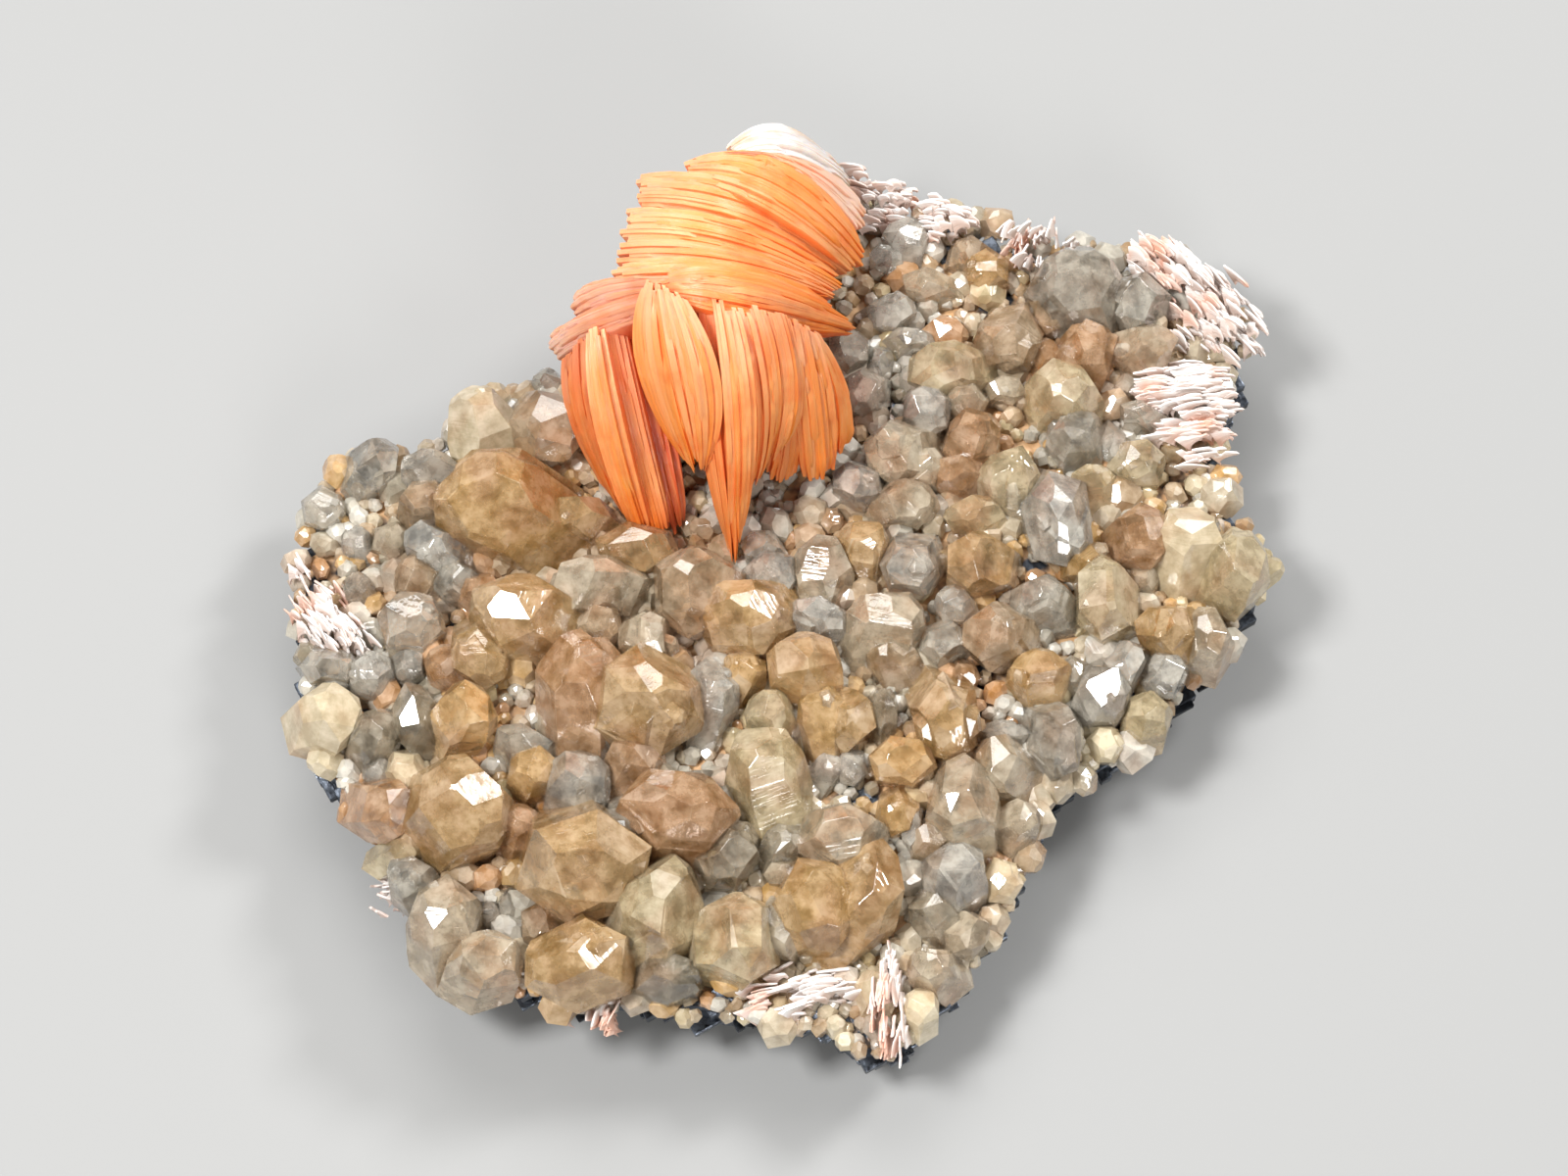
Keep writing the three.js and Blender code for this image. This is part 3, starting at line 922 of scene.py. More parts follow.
@dataclass(frozen=True)
class Habit:
    """The form of a cerussite crystal. A tilt is from the axis, in degrees, and a reach is a share of
    the half size."""

    middling: float = 7.4
    large: float = 9.2
    slope: float = 54.5
    steep: float = 68.0
    shoulder: float = 35.5
    shoulder_reach: float = 0.93
    foot: float = 1.3
    unevenness: float = 0.05
    crowding: float = 1.1
    lift: float = 0.42
    tall: float = 1.08
    lean: Span = (10.0, 44.0)
    seed: int = 4099
    edge: float = 0.014
    ridged: float = 0.55
    ridge: Span = (0.74, 0.88)
    shouldered: float = 0.6
    chamfered: float = 0.35
    capped: Span = (0.15, 0.3)
    tilt_error: float = 3.5
    turn_error: float = 5.0
    reach_error: float = 0.035
    tops: Span = (0.8, 0.96)
    slopes: Span = (0.88, 0.96)
    sides: Span = (0.9, 0.98)
    chamfer_tilts: Span = (72, 84)
    chamfer_reaches: Span = (0.93, 1.0)
    cap_tilts: Span = (18, 30)
    cap_reaches: Span = (0.88, 0.95)
    bedding: float = 0.2
    shallowest: float = 0.05

    def faces(self, draw: Draw, size: float) -> list[tuple[float, float, float]]:
        """The main faces, as tilt, turn and reach.

        Args:
            draw: the crystal's own draws.
            size: its size in millimetres.

        Returns:
            The faces.
        """
        small, large = size < self.middling, size > self.large
        top = draw.between(*self.tops)
        slope = draw.between(*self.slopes)
        side = draw.between(*self.sides)
        faces = [(0.0, 0.0, top)]
        for turn in range(0, 360, 60):
            uneven = self.unevenness * draw() if large else 0.0
            faces.append((self.steep if small else self.slope, turn, slope + uneven))
            faces.append((90.0, turn, side + uneven))
            faces.append((self.shoulder, turn + 30, self.shoulder_reach + uneven))
        return faces

    def refined(self, faces: list, draw: Draw, size: float) -> list[tuple[float, float, float]]:
        """The faces with the small ones that break their edges, and each a little out of true.

        Args:
            faces: the main faces.
            draw: the crystal's own draws.
            size: its size in millimetres.

        Returns:
            The faces, as tilt, turn and reach.
        """
        small = size < self.middling
        ridge = 60 * int(draw() * 3) if draw() < self.ridged else None
        kept = []
        for tilt, turn, reach in faces:
            if tilt in (self.slope, self.steep) and ridge is not None and turn % 180 == ridge:
                reach *= draw.between(*self.ridge)
            if tilt != self.shoulder or draw() < self.shouldered:
                kept.append((tilt, turn, reach))
        for turn in range(0, 360, 60):
            if draw() < self.chamfered:
                kept.append((draw.between(*self.chamfer_tilts), turn + 30,
                             draw.between(*self.chamfer_reaches)))
            if draw() < self.capped[0 if small else 1]:
                kept.append((draw.between(*self.cap_tilts), turn, draw.between(*self.cap_reaches)))
        return [(tilt + draw.either_way(self.tilt_error), turn + draw.either_way(self.turn_error),
                 reach + draw.either_way(self.reach_error)) for tilt, turn, reach in kept]


HABIT = Habit()


@dataclass(frozen=True)
class Brood:
    """The bodies that grew on a crystal: one more for so many millimetres of its size, how far from
    the axis they stand in degrees, their size as a share, and how far out they are pushed."""

    spacing: float
    tilts: Span
    shares: Span
    rim: float
    push: Span
    base: float = 1.2

    def count(self, draw: Draw, size: float) -> int:
        """Draws how many there are.

        Args:
            draw: the crystal's own draws.
            size: its size in millimetres.

        Returns:
            The number.
        """
        return int(draw.between(0, self.base + size / self.spacing))

    def place(self, draw: Draw) -> tuple[float, Matrix]:
        """Draws where one stands on a crystal of half size 1.

        Args:
            draw: the crystal's own draws.

        Returns:
            Its size as a share, and its shift.
        """
        out = direction(draw.between(*self.tilts), draw.between(0, 360))
        share = draw.between(*self.shares)
        return share, Matrix.Translation(out * (self.rim - share) * draw.between(*self.push))


STEPS = Brood(5, (55, 110), (0.68, 0.88), 1, (1.0, 1.3))
YOUNG = Brood(7, (20, 85), (0.2, 0.36), 0.98, (0.95, 1.15))
DUSTY = srgb(196, 170, 134)
DUSTINESS = (0, 0.3)
YOUNG_TWIST = 0.3
YOUNG_PALENESS = (0, 0.5)


@dataclass(frozen=True)
class Crystal:
    """One crystal: the picture's column and row of its middle, its width and height there in
    pixels, and its tint."""

    column: int
    row: int
    wide: int
    high: int
    tint: Tint

    def frame(self, draw: Draw, size: float) -> Matrix:
        """Where the crystal stands and how it leans, as the part's source has it.

        Args:
            draw: the crystal's own draws.
            size: its size in millimetres.

        Returns:
            The way from the crystal's own axes to the specimen.
        """
        scale = HABIT.crowding * PICTURE.mm_per_pixel
        lean = math.radians(draw.between(*HABIT.lean))
        heading = math.radians(360 * draw())
        turn = math.radians(60 * draw())
        below = PICTURE.at(self.column, self.row, TOP.crown)
        level = TOP.height(below.x, below.y) + SEAM + HABIT.lift * size
        middle = PICTURE.at(self.column, self.row, level)
        half = Vector((self.wide * scale, self.high * scale, size * HABIT.tall)) * 0.5
        axis = Vector((math.cos(heading), math.sin(heading), 0))
        return (Matrix.Translation(middle) @ Matrix.Diagonal((*half, 1))
                @ Matrix.Rotation(lean, 4, axis) @ Matrix.Rotation(turn, 4, "Z"))

    def grow(self, draft: Draft) -> None:
        """Adds the crystal and the smaller ones that grew on it to a mesh.

        Args:
            draft: the mesh.
        """
        draw = Draw(self.column * HABIT.seed + self.row)
        size = math.sqrt(self.wide * self.high) * HABIT.crowding * PICTURE.mm_per_pixel
        faces = HABIT.faces(draw, size)
        place = self.frame(draw, size)
        colour = blend_colours(self.tint.colour, DUSTY, draw.between(*DUSTINESS))
        self.add(draft, place, HABIT.refined(faces, draw, size), colour)
        for _ in range(STEPS.count(draw, size)):
            share, shift = STEPS.place(draw)
            step = place @ shift @ Matrix.Scale(share, 4)
            step_faces = HABIT.faces(draw, size)
            self.add(draft, step, HABIT.refined(step_faces, draw, size), colour)
        for _ in range(YOUNG.count(draw, size)):
            share, shift = YOUNG.place(draw)
            twist = Euler([draw.either_way(YOUNG_TWIST) for _ in range(3)])
            young = place @ shift @ twist.to_matrix().to_4x4() @ Matrix.Scale(share, 4)
            young_faces = HABIT.faces(draw, size * share)
            self.add(draft, young, HABIT.refined(young_faces, draw, size * share),
                     blend_colours(colour, Tint.PALE.colour, draw.between(*YOUNG_PALENESS)))

    def add(self, draft: Draft, place: Matrix, faces: list, colour: Colour) -> None:
        """Adds one body, cut off where it enters the galena.

        Args:
            draft: the mesh.
            place: from the crystal's own axes to the specimen.
            faces: the body's faces, as tilt, turn and reach.
            colour: its tint.
        """
        normals = [direction(tilt, turn) for tilt, turn, _ in faces]
        reaches = [reach for _, _, reach in faces]
        middle = place.translation
        floor = TOP.height(middle.x, middle.y) - HABIT.bedding
        down = place.to_3x3().transposed() @ Vector((0, 0, -1))
        normals.append(down.normalized())
        reaches.append(min(HABIT.foot, (middle.z - floor) / down.length))
        if reaches[-1] < HABIT.shallowest:
            return
        points, loops = body_inside(np.array([tuple(n) for n in normals]), np.array(reaches),
                                    HABIT.edge)
        size = place.to_scale()
        owns = [Vector((p.x * size.x, p.y * size.y, p.z * size.z)) for p in points]
        tints = [colour] * len(points)
        draft.add([place @ p for p in points], loops, tints, owns, self.tint.clarity.value)


# Short names of the tints, for the table below
H, A, B, G, P, C, S, Y, K = (Tint.HONEY, Tint.AMBER, Tint.BROWN, Tint.GREY, Tint.PALE, Tint.CREAM,
                             Tint.SMOKY, Tint.STRAW, Tint.BEIGE)

# The crystals as the picture shows them: column and row of the middle, width, height, and tint
CRYSTALS = [
    # Left
    (503, 512, 108, 95, H), (490, 430, 68, 68, C), (385, 475, 52, 52, G), (437, 480, 55, 40, P),
    (560, 440, 70, 70, B), (558, 392, 30, 30, G), (525, 450, 26, 26, P), (330, 520, 40, 40, G),
    (364, 553, 28, 28, P), (400, 553, 36, 36, K), (432, 515, 45, 45, B), (445, 560, 58, 58, P),
    (425, 590, 45, 45, B), (365, 600, 30, 30, G), (465, 595, 42, 42, G), (490, 605, 40, 40, A),
    (420, 637, 62, 62, G), (528, 628, 90, 75, H), (535, 565, 32, 32, B), (588, 530, 70, 42, H),
    (650, 562, 75, 45, H), (338, 732, 58, 64, C), (338, 682, 52, 44, G), (345, 700, 28, 28, P),
    (380, 688, 44, 44, P), (418, 680, 36, 36, P), (455, 680, 42, 42, A), (490, 672, 58, 58, H),
    (422, 732, 44, 62, S), (385, 750, 48, 48, S), (476, 732, 63, 63, H), (535, 760, 60, 33, G),
    (592, 692, 78, 90, A), (415, 792, 42, 42, C), (385, 787, 30, 30, P), (398, 828, 56, 56, A),
    (474, 822, 92, 95, H), (530, 845, 45, 45, A), (545, 790, 50, 50, H), (591, 800, 60, 60, P),
    (415, 866, 36, 36, Y), (445, 855, 38, 38, G), (420, 900, 45, 45, G),
    # Front left
    (452, 940, 65, 75, K), (500, 932, 20, 20, P), (520, 925, 22, 22, G), (495, 983, 68, 58, K),
    (555, 945, 45, 45, B), (592, 985, 95, 80, H), (595, 885, 115, 95, H), (635, 865, 46, 85, G),
    # Middle
    (707, 604, 85, 80, B), (760, 632, 88, 70, H), (605, 600, 90, 60, K), (610, 642, 48, 48, B),
    (662, 655, 60, 60, K), (662, 714, 100, 100, H), (725, 708, 50, 62, P), (760, 688, 45, 45, H),
    (821, 682, 72, 65, H), (835, 632, 65, 46, P), (788, 590, 50, 50, P), (775, 560, 36, 36, P),
    (838, 580, 55, 55, K), (785, 735, 48, 65, Y), (807, 743, 25, 42, P), (838, 730, 48, 60, H),
    (780, 785, 70, 78, Y), (845, 785, 30, 30, P), (868, 785, 30, 30, P), (595, 752, 52, 26, P),
    (650, 775, 50, 50, A), (715, 800, 40, 25, G),
    # Front middle
    (690, 832, 105, 80, A), (742, 875, 60, 60, S), (755, 855, 32, 32, K), (672, 922, 82, 100, Y),
    (700, 925, 32, 80, P), (752, 960, 88, 80, Y), (797, 945, 48, 58, K), (832, 925, 75, 82, H),
    (888, 908, 62, 85, H), (858, 855, 85, 58, K), (800, 862, 40, 40, S), (800, 892, 40, 26, K),
    (680, 998, 70, 42, S),
    # Back right
    (925, 245, 45, 45, P), (872, 218, 32, 32, G), (905, 267, 34, 34, P), (943, 292, 50, 34, K),
    (912, 322, 45, 45, P), (1006, 278, 44, 44, H), (990, 262, 40, 40, B), (1098, 294, 85, 80, G),
    (1068, 322, 42, 50, B), (1028, 350, 62, 70, B), (1065, 365, 38, 38, A), (1110, 358, 58, 58, A),
    (1085, 403, 74, 60, Y), (965, 378, 72, 55, Y), (945, 420, 50, 50, P), (985, 412, 42, 42, K),
    (882, 402, 46, 46, P), (866, 358, 44, 44, G), (900, 368, 24, 24, P), (928, 350, 48, 30, P),
    (1025, 400, 42, 28, K), (1160, 312, 62, 62, G), (1170, 360, 70, 50, K), (1165, 425, 50, 30, G),
    (1134, 455, 28, 40, P), (1100, 445, 60, 52, G), (1160, 474, 58, 46, Y),
    # Right
    (875, 495, 50, 50, P), (915, 465, 60, 60, K), (925, 515, 60, 46, K), (942, 478, 44, 44, K),
    (995, 445, 52, 52, A), (975, 485, 46, 46, A), (1030, 490, 60, 60, Y), (995, 527, 60, 36, Y),
    (1040, 522, 32, 32, K), (1080, 530, 66, 92, P), (1115, 495, 42, 42, Y), (880, 558, 52, 52, H),
    (930, 578, 58, 66, P), (995, 576, 68, 62, H), (1112, 578, 48, 48, H), (905, 635, 76, 55, K),
    (962, 655, 45, 45, G), (975, 618, 40, 40, P), (1015, 650, 60, 60, B), (1060, 615, 55, 55, G),
    (1165, 550, 60, 60, A), (1213, 552, 75, 60, C), (1262, 582, 60, 78, Y), (1125, 612, 60, 78, Y),
    (1165, 590, 30, 30, K), (1190, 645, 58, 58, H), (1232, 652, 50, 62, K), (1150, 680, 38, 50, P),
    (1190, 690, 45, 45, P), (1170, 732, 45, 46, Y), (1125, 710, 50, 55, P), (1080, 757, 50, 68, G),
    (1095, 690, 34, 34, S), (1128, 760, 34, 34, C),
    # Front right
    (967, 740, 64, 76, H), (1060, 690, 58, 50, H), (985, 692, 30, 30, A), (908, 672, 48, 36, B),
    (920, 778, 62, 46, H), (982, 818, 68, 85, K), (1018, 782, 48, 56, K), (1025, 750, 45, 25, P),
    (868, 735, 46, 60, H), (900, 725, 30, 44, S), (915, 832, 40, 40, H), (930, 842, 22, 48, P),
    (1040, 840, 44, 44, K), (1060, 785, 22, 22, P), (973, 893, 60, 64, P), (952, 932, 46, 46, S),
    (1022, 900, 38, 42, C), (1012, 880, 24, 24, A), (950, 860, 40, 40, B), (985, 955, 46, 46, K),
    (950, 990, 44, 50, K), (940, 1030, 34, 40, C),
]


def dress(piece: bpy.types.Object, slot: str, *nodes: str) -> None:
    """Fixes a finished piece to the specimen.

    Args:
        piece: the object.
        slot: the record's material slot; not used.
        nodes: the CAD nodes that it stands for.
    """
    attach(piece, BODY)
    if nodes:
        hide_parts(*nodes)
    triangles = sum(len(p.vertices) - 2 for p in piece.data.polygons)
    log.info("%s: %d triangles", piece.name, triangles)


class Growth(Nodes):
    """A Geometry Nodes tree that sets shapes on points, with named inputs."""

    def __init__(self, name: str, inputs: dict[str, tuple[str, object]]) -> None:
        """Args:
            name: the tree's name.
            inputs: each input's socket type and its value, by name.
        """
        self.tree = bpy.data.node_groups.new(name, "GeometryNodeTree")
        face = self.tree.interface
        face.new_socket("Geometry", in_out="INPUT", socket_type="NodeSocketGeometry")
        self.values = inputs
        for key, (kind, _) in inputs.items():
            face.new_socket(key, in_out="INPUT", socket_type=kind)
        face.new_socket("Geometry", in_out="OUTPUT", socket_type="NodeSocketGeometry")
        self.entry = self.tree.nodes.new("NodeGroupInput")
        self.exit = self.tree.nodes.new("NodeGroupOutput")

    def given(self, name: str) -> Value:
        """One of the tree's inputs.

        Args:
            name: the input's name.

        Returns:
            The input.
        """
        return Value(self.tree, self.entry.outputs[name])

    def close(self, instances: Value, material: str) -> None:
        """Ends the tree: the instances made real, with the material of an input.

        Args:
            instances: the instances.
            material: the input's name.
        """
        real = self.value("GeometryNodeRealizeInstances", None, {"Geometry": instances})
        done = self.value("GeometryNodeSetMaterial", None, {
            "Geometry": real, "Material": self.given(material)})
        feed(self.tree, self.exit.inputs[0], done)

    def apply(self, base: bpy.types.Object, name: str) -> bpy.types.Object:
        """Runs the tree on an object, which goes, and keeps the result as a plain mesh.

        Args:
            base: the object that the tree starts from.
            name: the new object's name.

        Returns:
            The new object.
        """
        modifier = base.modifiers.new(name, "NODES")
        modifier.node_group = self.tree
        for item in self.tree.interface.items_tree:
            if item.in_out == "INPUT" and item.name in self.values:
                modifier[item.identifier] = self.values[item.name][1]
        bpy.context.view_layer.update()
        graph = bpy.context.evaluated_depsgraph_get()
        data = bpy.data.meshes.new_from_object(base.evaluated_get(graph))
        base.modifiers.remove(modifier)
        bpy.data.objects.remove(base)
        data.name = name
        made = bpy.data.objects.new(name, data)
        bpy.context.scene.collection.objects.link(made)
        return made


CERUSSITE = [
    CerussiteFinish(Clarity.CLEAR, (0.12, 0.5), 0.35, 12.0),
    CerussiteFinish(Clarity.CLOUDY, (0.2, 0.6), 0.55, 25.0),
    CerussiteFinish(Clarity.CHALKY, (0.5, 0.88), 0.45, 30.0),
]

# The tints of the small crystals, the common ones more than once
SMALL_TINTS = [G, G, P, P, B, B, B, H, A, K, K, S, Y]


@dataclass
class Druse:
    """The crust of cerussite crystals: the large ones one by one, and the small ones between them,
    whose columns, rows and radii are pixels of the picture."""

    seed: int = 91
    tries: int = 16000
    smallest: float = 6.0
    largest: float = 18.0
    crowding: float = 0.68
    kinds: int = 7
    columns: Span = (300, 1296)
    rows: Span = (190, 1086)
    deepest: float = 0.78
    swelling: float = 1.15
    lift: Span = (0.2, 0.75)
    lean: float = 0.7
    like_the_nearest: float = 0.4
    # The colour of the painted shade on the small crystals in the gaps between the large ones
    painted_gap_shade: Colour = srgb(140, 134, 120)
    pointed: float = 8.0
    foot: float = 0.9
    heights: Span = (0.75, 1.25)
    finishes: list[bpy.types.Material] = field(default_factory=list)

    def __post_init__(self) -> None:
        """Makes the three finishes."""
        self.finishes = [finish.make() for finish in CERUSSITE]

    def build(self) -> None:
        """Builds the crystals that the picture shows one by one, then those between them."""
        draft = Draft()
        for entry in CRYSTALS:
            Crystal(*entry).grow(draft)
        large = draft.piece("cerussite_crystals", self.finishes)
        dress(large, "cerussite", "cerussite_druse")
        small = self.small_crystals()
        dress(small, "cerussite")

    def covered(self, column: float, row: float) -> float:
        """How deep a place is inside the nearest large crystal: 0 in its middle, 1 on its edge.

        Args:
            column: the column in pixels.
            row: the row in pixels.

        Returns:
            The depth.
        """
        return min(math.hypot((column - c) / (w / 2), (row - r) / (h / 2))
                   for c, r, w, h, _ in CRYSTALS)

    def places(self) -> list[tuple[float, float, float]]:
        """Columns, rows and radii of the small crystals, in pixels.

        Returns:
            The places.
        """
        draw = Draw(self.seed)
        taken: list[tuple[float, float, float]] = []
        for _ in range(self.tries):
            column, row = draw.between(*self.columns), draw.between(*self.rows)
            radius = self.smallest + (self.largest - self.smallest) * draw() ** 2
            if not inside_outline(column, row) or self.covered(column, row) < self.deepest:
                continue
            if all(math.hypot(column - c, row - r) > self.crowding * (radius + other)
                   for c, r, other in taken):
                taken.append((column, row, radius))
        return taken

    def kind(self, number: int) -> bpy.types.Object:
        """One of the small crystal shapes, a unit in size.

        Args:
            number: the shape's number.

        Returns:
            An object that is in no collection yet.
        """
        draw = Draw(self.seed * 7 + number)
        faces = HABIT.refined(HABIT.faces(draw, self.pointed), draw, self.pointed)
        normals = np.array([tuple(direction(t, a)) for t, a, _ in faces] + [(0, 0, -1)])
        reaches = np.array([r for _, _, r in faces] + [self.foot])
        points, loops = body_inside(normals, reaches)
        draft = Draft()
        draft.luck = Draw(number)
        draft.add([p / MM for p in points], loops, [(1, 1, 1)] * len(points), [p * 2 for p in points])
        data = draft.mesh(f"small_crystal_{number}", [])
        data.attributes.remove(data.attributes["tint"])
        return bpy.data.objects.new(f"small_crystal_{number}", data)

    def small_crystals(self) -> bpy.types.Object:
        """The small crystals, set on their places by a tree of nodes.

        Returns:
            The object.
        """
        draw = Draw(self.seed + 1)
        points, tints, sizes, turns = [], [], [], []
        for column, row, radius in self.places():
            size = radius * PICTURE.mm_per_pixel * self.swelling
            spot = TOP.seen(column, row)
            rise = Vector((0, 0, SEAM + size * draw.between(*self.lift)))
            points.append(tuple((spot + rise) * MM))
            near = min(CRYSTALS, key=lambda c: math.hypot(c[0] - column, c[1] - row))[4]
            tint = near if draw() < self.like_the_nearest else draw.pick(SMALL_TINTS)
            # Painted shade: each small crystal in the gaps is darkened by a random share towards a dim
            # grey
            tints.append((*blend_colours(tint.colour, self.painted_gap_shade, draw.between(0, 0.3)), 1))
            sizes.append(size * MM)
            turns.append((draw.either_way(self.lean), draw.either_way(self.lean),
                          draw.between(0, FULL_TURN)))
        data = bpy.data.meshes.new("small_crystal_places")
        data.from_pydata(points, [], [])
        for name, kind, key, values in (("tint", "FLOAT_COLOR", "color", tints),
                                        ("size", "FLOAT", "value", sizes),
                                        ("turn", "FLOAT_VECTOR", "vector", turns)):
            layer = data.attributes.new(name, kind, "POINT")
            layer.data.foreach_set(key, np.array(values, np.float32).ravel())
        base = bpy.data.objects.new("small_crystal_places", data)
        bpy.context.scene.collection.objects.link(base)
        shapes = bpy.data.collections.new("small_crystal_shapes")
        for number in range(self.kinds):
            shapes.objects.link(self.kind(number))
        growth = Growth("small_crystals", {
            "Shapes": ("NodeSocketCollection", shapes),
            "Finish": ("NodeSocketMaterial", self.finishes[Clarity.CHALKY.value]),
            "Seed": ("NodeSocketInt", 5),
            "Flattest": ("NodeSocketFloat", self.heights[0]),
            "Tallest": ("NodeSocketFloat", self.heights[1]),
        })
        kinds = growth.value("GeometryNodeCollectionInfo", None, {
            "Collection": growth.given("Shapes"), "Separate Children": True,
            "Reset Children": True})
        tall = growth.value("FunctionNodeRandomValue", {"data_type": "FLOAT"}, {
            2: growth.given("Flattest"), 3: growth.given("Tallest"), "Seed": growth.given("Seed")},
            output=1)
        size = growth.value("GeometryNodeInputNamedAttribute", {"data_type": "FLOAT"}, {
            "Name": "size"})
        turn = growth.value("GeometryNodeInputNamedAttribute", {"data_type": "FLOAT_VECTOR"}, {
            "Name": "turn"})
        scale = growth.value("ShaderNodeCombineXYZ", None, {0: size, 1: size * tall, 2: size * tall})
        choice = growth.value("FunctionNodeRandomValue", {"data_type": "INT"}, {
            4: 0, 5: self.kinds - 1, "Seed": growth.given("Seed")}, output=2)
        turned = growth.value("FunctionNodeEulerToRotation", None, {0: turn})
        placed = growth.value("GeometryNodeInstanceOnPoints", None, {
            "Points": growth.given("Geometry"), "Instance": kinds, "Pick Instance": True,
            "Instance Index": choice, "Rotation": turned, "Scale": scale})
        growth.close(placed, "Finish")
        made = growth.apply(base, "cerussite_small_crystals")
        for old in list(shapes.objects):
            bpy.data.objects.remove(old)
        bpy.data.collections.remove(shapes)
        return made


def bend(points: list[Vector], along: float) -> Vector:
    """The spot at a share along the smooth line through three points.

    Args:
        points: where the line starts, its middle and where it ends.
        along: the share, which may lie a little outside 0 to 1.

    Returns:
        The spot.
    """
    start, middle, end = points
    return (start * (1 - along) * (1 - 2 * along) + middle * 4 * along * (1 - along)
            + end * along * (2 * along - 1))


@dataclass(frozen=True)
class Blade:
    """A barite blade in millimetres: three points of its outer edge from crest to tip, half its
    thickness at each of them, and its root."""

    edge: list[Vector]
    half: list[Vector]
    root: Vector


@dataclass(frozen=True)
class BladeColours:
    """The colours of a blade: at its crest, its body, its tip, its outer edge, made paler as a painted
    highlight, and the painted shade deep inside between the blades.
    The names in capitals are shares of its length or depth."""

    CREST_END = 0.4
    TIP_START = 0.55
    EDGE_DEPTH = 0.05
    FULL_SHADE_DEPTH = 0.4

    crest: Colour
    body: Colour
    tip: Colour
    edge: Colour
    painted_shade_colour: Colour

    def at(self, along: float, depth: float, tone: float, shade: float) -> Colour:
        """The colour at a share of the length and of the depth, warmer or paler by the tone.

        Args:
            along: the share of the length.
            depth: the share of the depth.
            tone: from -1 to 1.
            shade: how much of the painted shade colour at least.

        Returns:
            The colour.
        """
        below_crest = smooth(0.0, self.CREST_END, along + tone * 0.15)
        at_tip = smooth(self.TIP_START, 1.0, along + tone * 0.1)
        colour = blend_colours(self.crest, self.body, below_crest)
        colour = blend_colours(colour, self.tip, at_tip)
        inwards = smooth(0.0, self.EDGE_DEPTH, depth)
        # Painted highlight: paler towards the outer edge. The tone makes each blade paler or warmer at
        # random.
        colour = blend_colours(self.edge, colour, 0.7 + tone * 0.3 + inwards * 0.3)
        # Painted shade: the blade darkens inwards from its outer edge, where the blades shade each
        # other, and never less than its sheaf's painted shade
        crevice_shade = 0.9 * smooth(self.EDGE_DEPTH, self.FULL_SHADE_DEPTH, depth)
        return blend_colours(colour, self.painted_shade_colour, max(shade, crevice_shade))


@dataclass(frozen=True)
class Cut:
    """How one blade differs from the next: where it starts and ends along its line, how far in it
    is set, its tone, and how much of its colour is the painted shade colour at least."""

    start: float = 0.0
    end: float = 1.0
    sunk: float = 0.0
    across: float = 0.0
    tone: float = 0.0
    shade: float = 0.0


@dataclass(frozen=True)
class BladeForm:
    """How a blade is made: its steps along and inwards, how rough its edge is, how its tip narrows,
    and its least depth and thickness in millimetres."""

    steps: int = 22
    depths: tuple[float, ...] = (0.0, 0.02, 0.07, 0.25, 1.0)
    fullness: tuple[float, ...] = (0.8, 0.96, 1.0, 1.0, 0.8)
    teeth: float = 0.4
    toothed: float = 0.22
    tip: Span = (1.02, 0.12)
    tip_depth: float = 0.3
    tip_thickness: float = 0.4
    unrooted: float = 0.96
    curve: float = 0.75
    least_depth: float = 0.3
    least_thickness: float = 0.07
    no_thickness: float = 0.001
    own_depth: float = 9.0

    def grow(self, draft: Draft, blade: Blade, draw: Draw, colours: BladeColours, cut: Cut) -> None:
        """Adds one blade to a mesh.

        Args:
            draft: the mesh.
            blade: the blade's place.
            draw: its own draws.
            colours: its colours.
            cut: how it differs from its neighbours.
        """
        along = blade.edge[2] - blade.edge[0]
        length = along.length
        teeth = self.tooth_line(draw)
        turn = blade.half[1].dot(along.cross(blade.root - blade.edge[1]))
        turn = 1 if turn > 0 else -1
        points, owns, tints = [], [], []
        for step in range(self.steps + 1):
            share = step / self.steps
            u = cut.start + (cut.end - cut.start) * share
            taper = min(1.0, (self.tip[0] - share) / self.tip[1]) ** 0.5
            edge, half = bend(blade.edge, u), bend(blade.half, u)
            inward = blade.root - edge
            inner = edge + inward * (1 - min(self.unrooted, max(0.0, u))) ** self.curve
            inward.normalize()
            outer = edge + inward * (cut.sunk + teeth[step] + (1 - taper) * self.tip_depth)
            if (inner - outer).dot(inward) < self.least_depth:
                inner = outer + inward * self.least_depth
            thicker = max(1.0, self.least_thickness / max(half.length, self.no_thickness))
            half = half * (max(self.tip_thickness, taper) * thicker)
            ring = list(zip(self.depths, self.fullness))
            for sign, part in ((turn, ring), (-turn, reversed(ring))):
                for v, full in part:
                    points.append(outer.lerp(inner, v) + half * (sign * full))
                    across = cut.across + sign * full * half.length
                    owns.append(Vector((u * length, v * self.own_depth, across)))
                    tints.append(colours.at(u, v, cut.tone, cut.shade))
        count = 2 * len(self.depths)
        faces = []
        for step in range(self.steps):
            for i in range(count):
                j = (i + 1) % count
                faces.append([step * count + i, step * count + j, (step + 1) * count + j,
                              (step + 1) * count + i])
        last = self.steps * count
        for i in range(len(self.depths) - 1):
            far = count - 1 - i
            faces.append([i, far, far - 1, i + 1])
            faces.append([last + i + 1, last + far - 1, last + far, last + i])
        draft.add(points, faces, tints, owns)

    def tooth_line(self, draw: Draw) -> list[float]:
        """How far in the edge is broken at each step.

        Args:
            draw: the blade's own draws.

        Returns:
            The depths in millimetres.
        """
        level, line = 0.0, []
        for _ in range(self.steps + 1):
            if draw() < self.toothed:
                level = draw() ** 2 * self.teeth
            line.append(level)
        return line


